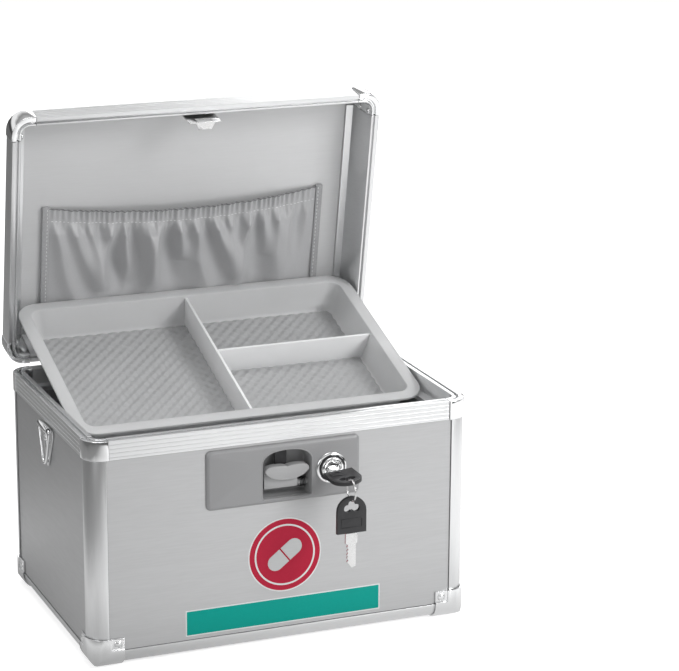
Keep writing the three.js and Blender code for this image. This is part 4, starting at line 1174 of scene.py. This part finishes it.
# A grey that follows a value from 0 to 1 through points of position and level.
def addBands(tree, value, bands):
    node = addNode(tree, "ShaderNodeValToRGB", {0: value})
    ramp = node.color_ramp
    for stop, (position, level) in zip(ramp.elements, (bands[0], bands[-1])):
        stop.position = position
        stop.color = (level, level, level, 1)
    for position, level in bands[1:-1]:
        stop = ramp.elements.new(position)
        stop.color = (level, level, level, 1)
    return node.outputs[0]


def addMaths(tree, operation, first, second):
    return addNode(tree, "ShaderNodeMath", {0: first, 1: second}, operation=operation).outputs[0]


def addVectorMaths(tree, operation, *values):
    return addNode(tree, "ShaderNodeVectorMath", dict(enumerate(values)), operation=operation).outputs


# The colour in which metal sees each spot of the floor.
def addFloorLight(tree):
    spot = addNode(tree, "ShaderNodeNewGeometry").outputs["Position"]
    flat = addVectorMaths(tree, "MULTIPLY", spot, (1, 1, 0))[0]
    run = addVectorMaths(tree, "SUBTRACT", flat, stage["from"])[0]
    heading = addVectorMaths(tree, "NORMALIZE", run)[0]
    ahead = addVectorMaths(tree, "DOT_PRODUCT", heading, stage["toward"])["Value"]
    turned = addNode(
        tree,
        "ShaderNodeMapRange",
        {"Value": ahead, "From Min": stage["turnDim"], "From Max": stage["turnLit"]},
        interpolation_type="SMOOTHSTEP",
    )
    spread = addVectorMaths(tree, "ABSOLUTE", flat)[0]
    beside = addVectorMaths(tree, "SUBTRACT", spread, stage["box"])[0]
    sides = addNode(tree, "ShaderNodeSeparateXYZ", {0: beside}).outputs
    away = addMaths(tree, "DIVIDE", addMaths(tree, "MAXIMUM", sides[0], sides[1]), stage["reach"])
    lit = addNode(tree, "ShaderNodeMix", {"Factor": turned.outputs[0]}, data_type="RGBA")
    tree.links.new(addBands(tree, away, stage["side"]), lit.inputs[6])
    tree.links.new(addBands(tree, away, stage["front"]), lit.inputs[7])
    return lit.outputs[2]


def makeStage():
    mesh = bmesh.new()
    bmesh.ops.create_grid(mesh, x_segments=1, y_segments=1, size=stage["size"])
    data = bpy.data.meshes.new("floor")
    mesh.to_mesh(data)
    mesh.free()
    floor = bpy.data.objects.new("floor", data)
    bpy.context.scene.collection.objects.link(floor)
    white = (1, 1, 1, 1)
    tone = (stage["tone"],) * 3
    paint = makeFinish("floor", tone, stage["roughness"], Specular_IOR_Level=0.0, Emission_Color=white)
    data.materials.append(paint)
    tree = paint.node_tree
    shader = tree.nodes["Principled BSDF"]
    path = addNode(tree, "ShaderNodeLightPath")
    glow = addMaths(tree, "MULTIPLY", path.outputs["Is Camera Ray"], stage["glow"])
    tree.links.new(glow, shader.inputs["Emission Strength"])
    mirrored = addNode(tree, "ShaderNodeEmission", {"Color": addFloorLight(tree), "Strength": 1.0})
    mix = addNode(tree, "ShaderNodeMixShader", {0: path.outputs["Is Glossy Ray"], 1: shader.outputs[0]})
    tree.links.new(mirrored.outputs[0], mix.inputs[2])
    tree.links.new(mix.outputs[0], tree.nodes["Material Output"].inputs[0])


# Name, place and size in metres, and power. All of them face the box's middle.
lamps = (
    ("key", (1.5, -1.7, 1.5), (0.9, 0.9), 34),
    ("top", (-0.2, 0.2, 2.2), (1.4, 1.2), 17),
    ("fill", (-2.0, -1.4, 0.9), (0.9, 1.4), 5),
    ("side", (1.1, -2.2, 0.45), (0.7, 0.5), 5),
    ("back", (0.9, 2.3, 0.9), (1.3, 1.0), 7),
)
boxMiddle = Vector((0, 0, 0.18))


def makeLamp(name, at, size, power):
    data = bpy.data.lights.new(name, "AREA")
    data.shape = "RECTANGLE"
    data.size, data.size_y = size
    data.energy = power
    lamp = bpy.data.objects.new(name, data)
    lamp.location = at
    lamp.rotation_mode = "QUATERNION"
    lamp.rotation_quaternion = (boxMiddle - Vector(at)).to_track_quat("-Z", "Y")
    bpy.context.scene.collection.objects.link(lamp)


# White to the camera, an even grey for soft light, and bands of light and dark that the metal mirrors.
sky = {
    "soft": 0.42,
    "bands": ((0.0, 0.06), (0.13, 0.08), (0.22, 0.95), (0.42, 1.0), (0.6, 0.3), (1.0, 0.75)),
}


def makeWorld():
    world = bpy.data.worlds.new("studio")
    bpy.context.scene.world = world
    world.use_nodes = True
    tree = world.node_tree
    tree.nodes.clear()
    coords = addNode(tree, "ShaderNodeTexCoord")
    split = addNode(tree, "ShaderNodeSeparateXYZ", {0: coords.outputs["Generated"]})
    path = addNode(tree, "ShaderNodeLightPath")
    metal = addNode(tree, "ShaderNodeMix", {"Factor": path.outputs["Is Glossy Ray"]}, data_type="RGBA")
    metal.inputs[6].default_value = (sky["soft"],) * 3 + (1,)
    tree.links.new(addBands(tree, split.outputs["Z"], sky["bands"]), metal.inputs[7])
    mix = addNode(tree, "ShaderNodeMix", {"Factor": path.outputs["Is Camera Ray"]}, data_type="RGBA")
    tree.links.new(metal.outputs[2], mix.inputs[6])
    mix.inputs[7].default_value = (1, 1, 1, 1)
    shade = addNode(tree, "ShaderNodeBackground", {"Color": mix.outputs[2], "Strength": 1.0})
    out = addNode(tree, "ShaderNodeOutputWorld")
    tree.links.new(shade.outputs[0], out.inputs[0])


makeStage()
for lamp in lamps:
    makeLamp(*lamp)
makeWorld()
bpy.context.scene.view_settings.view_transform = "Standard"
print("scene: stage")
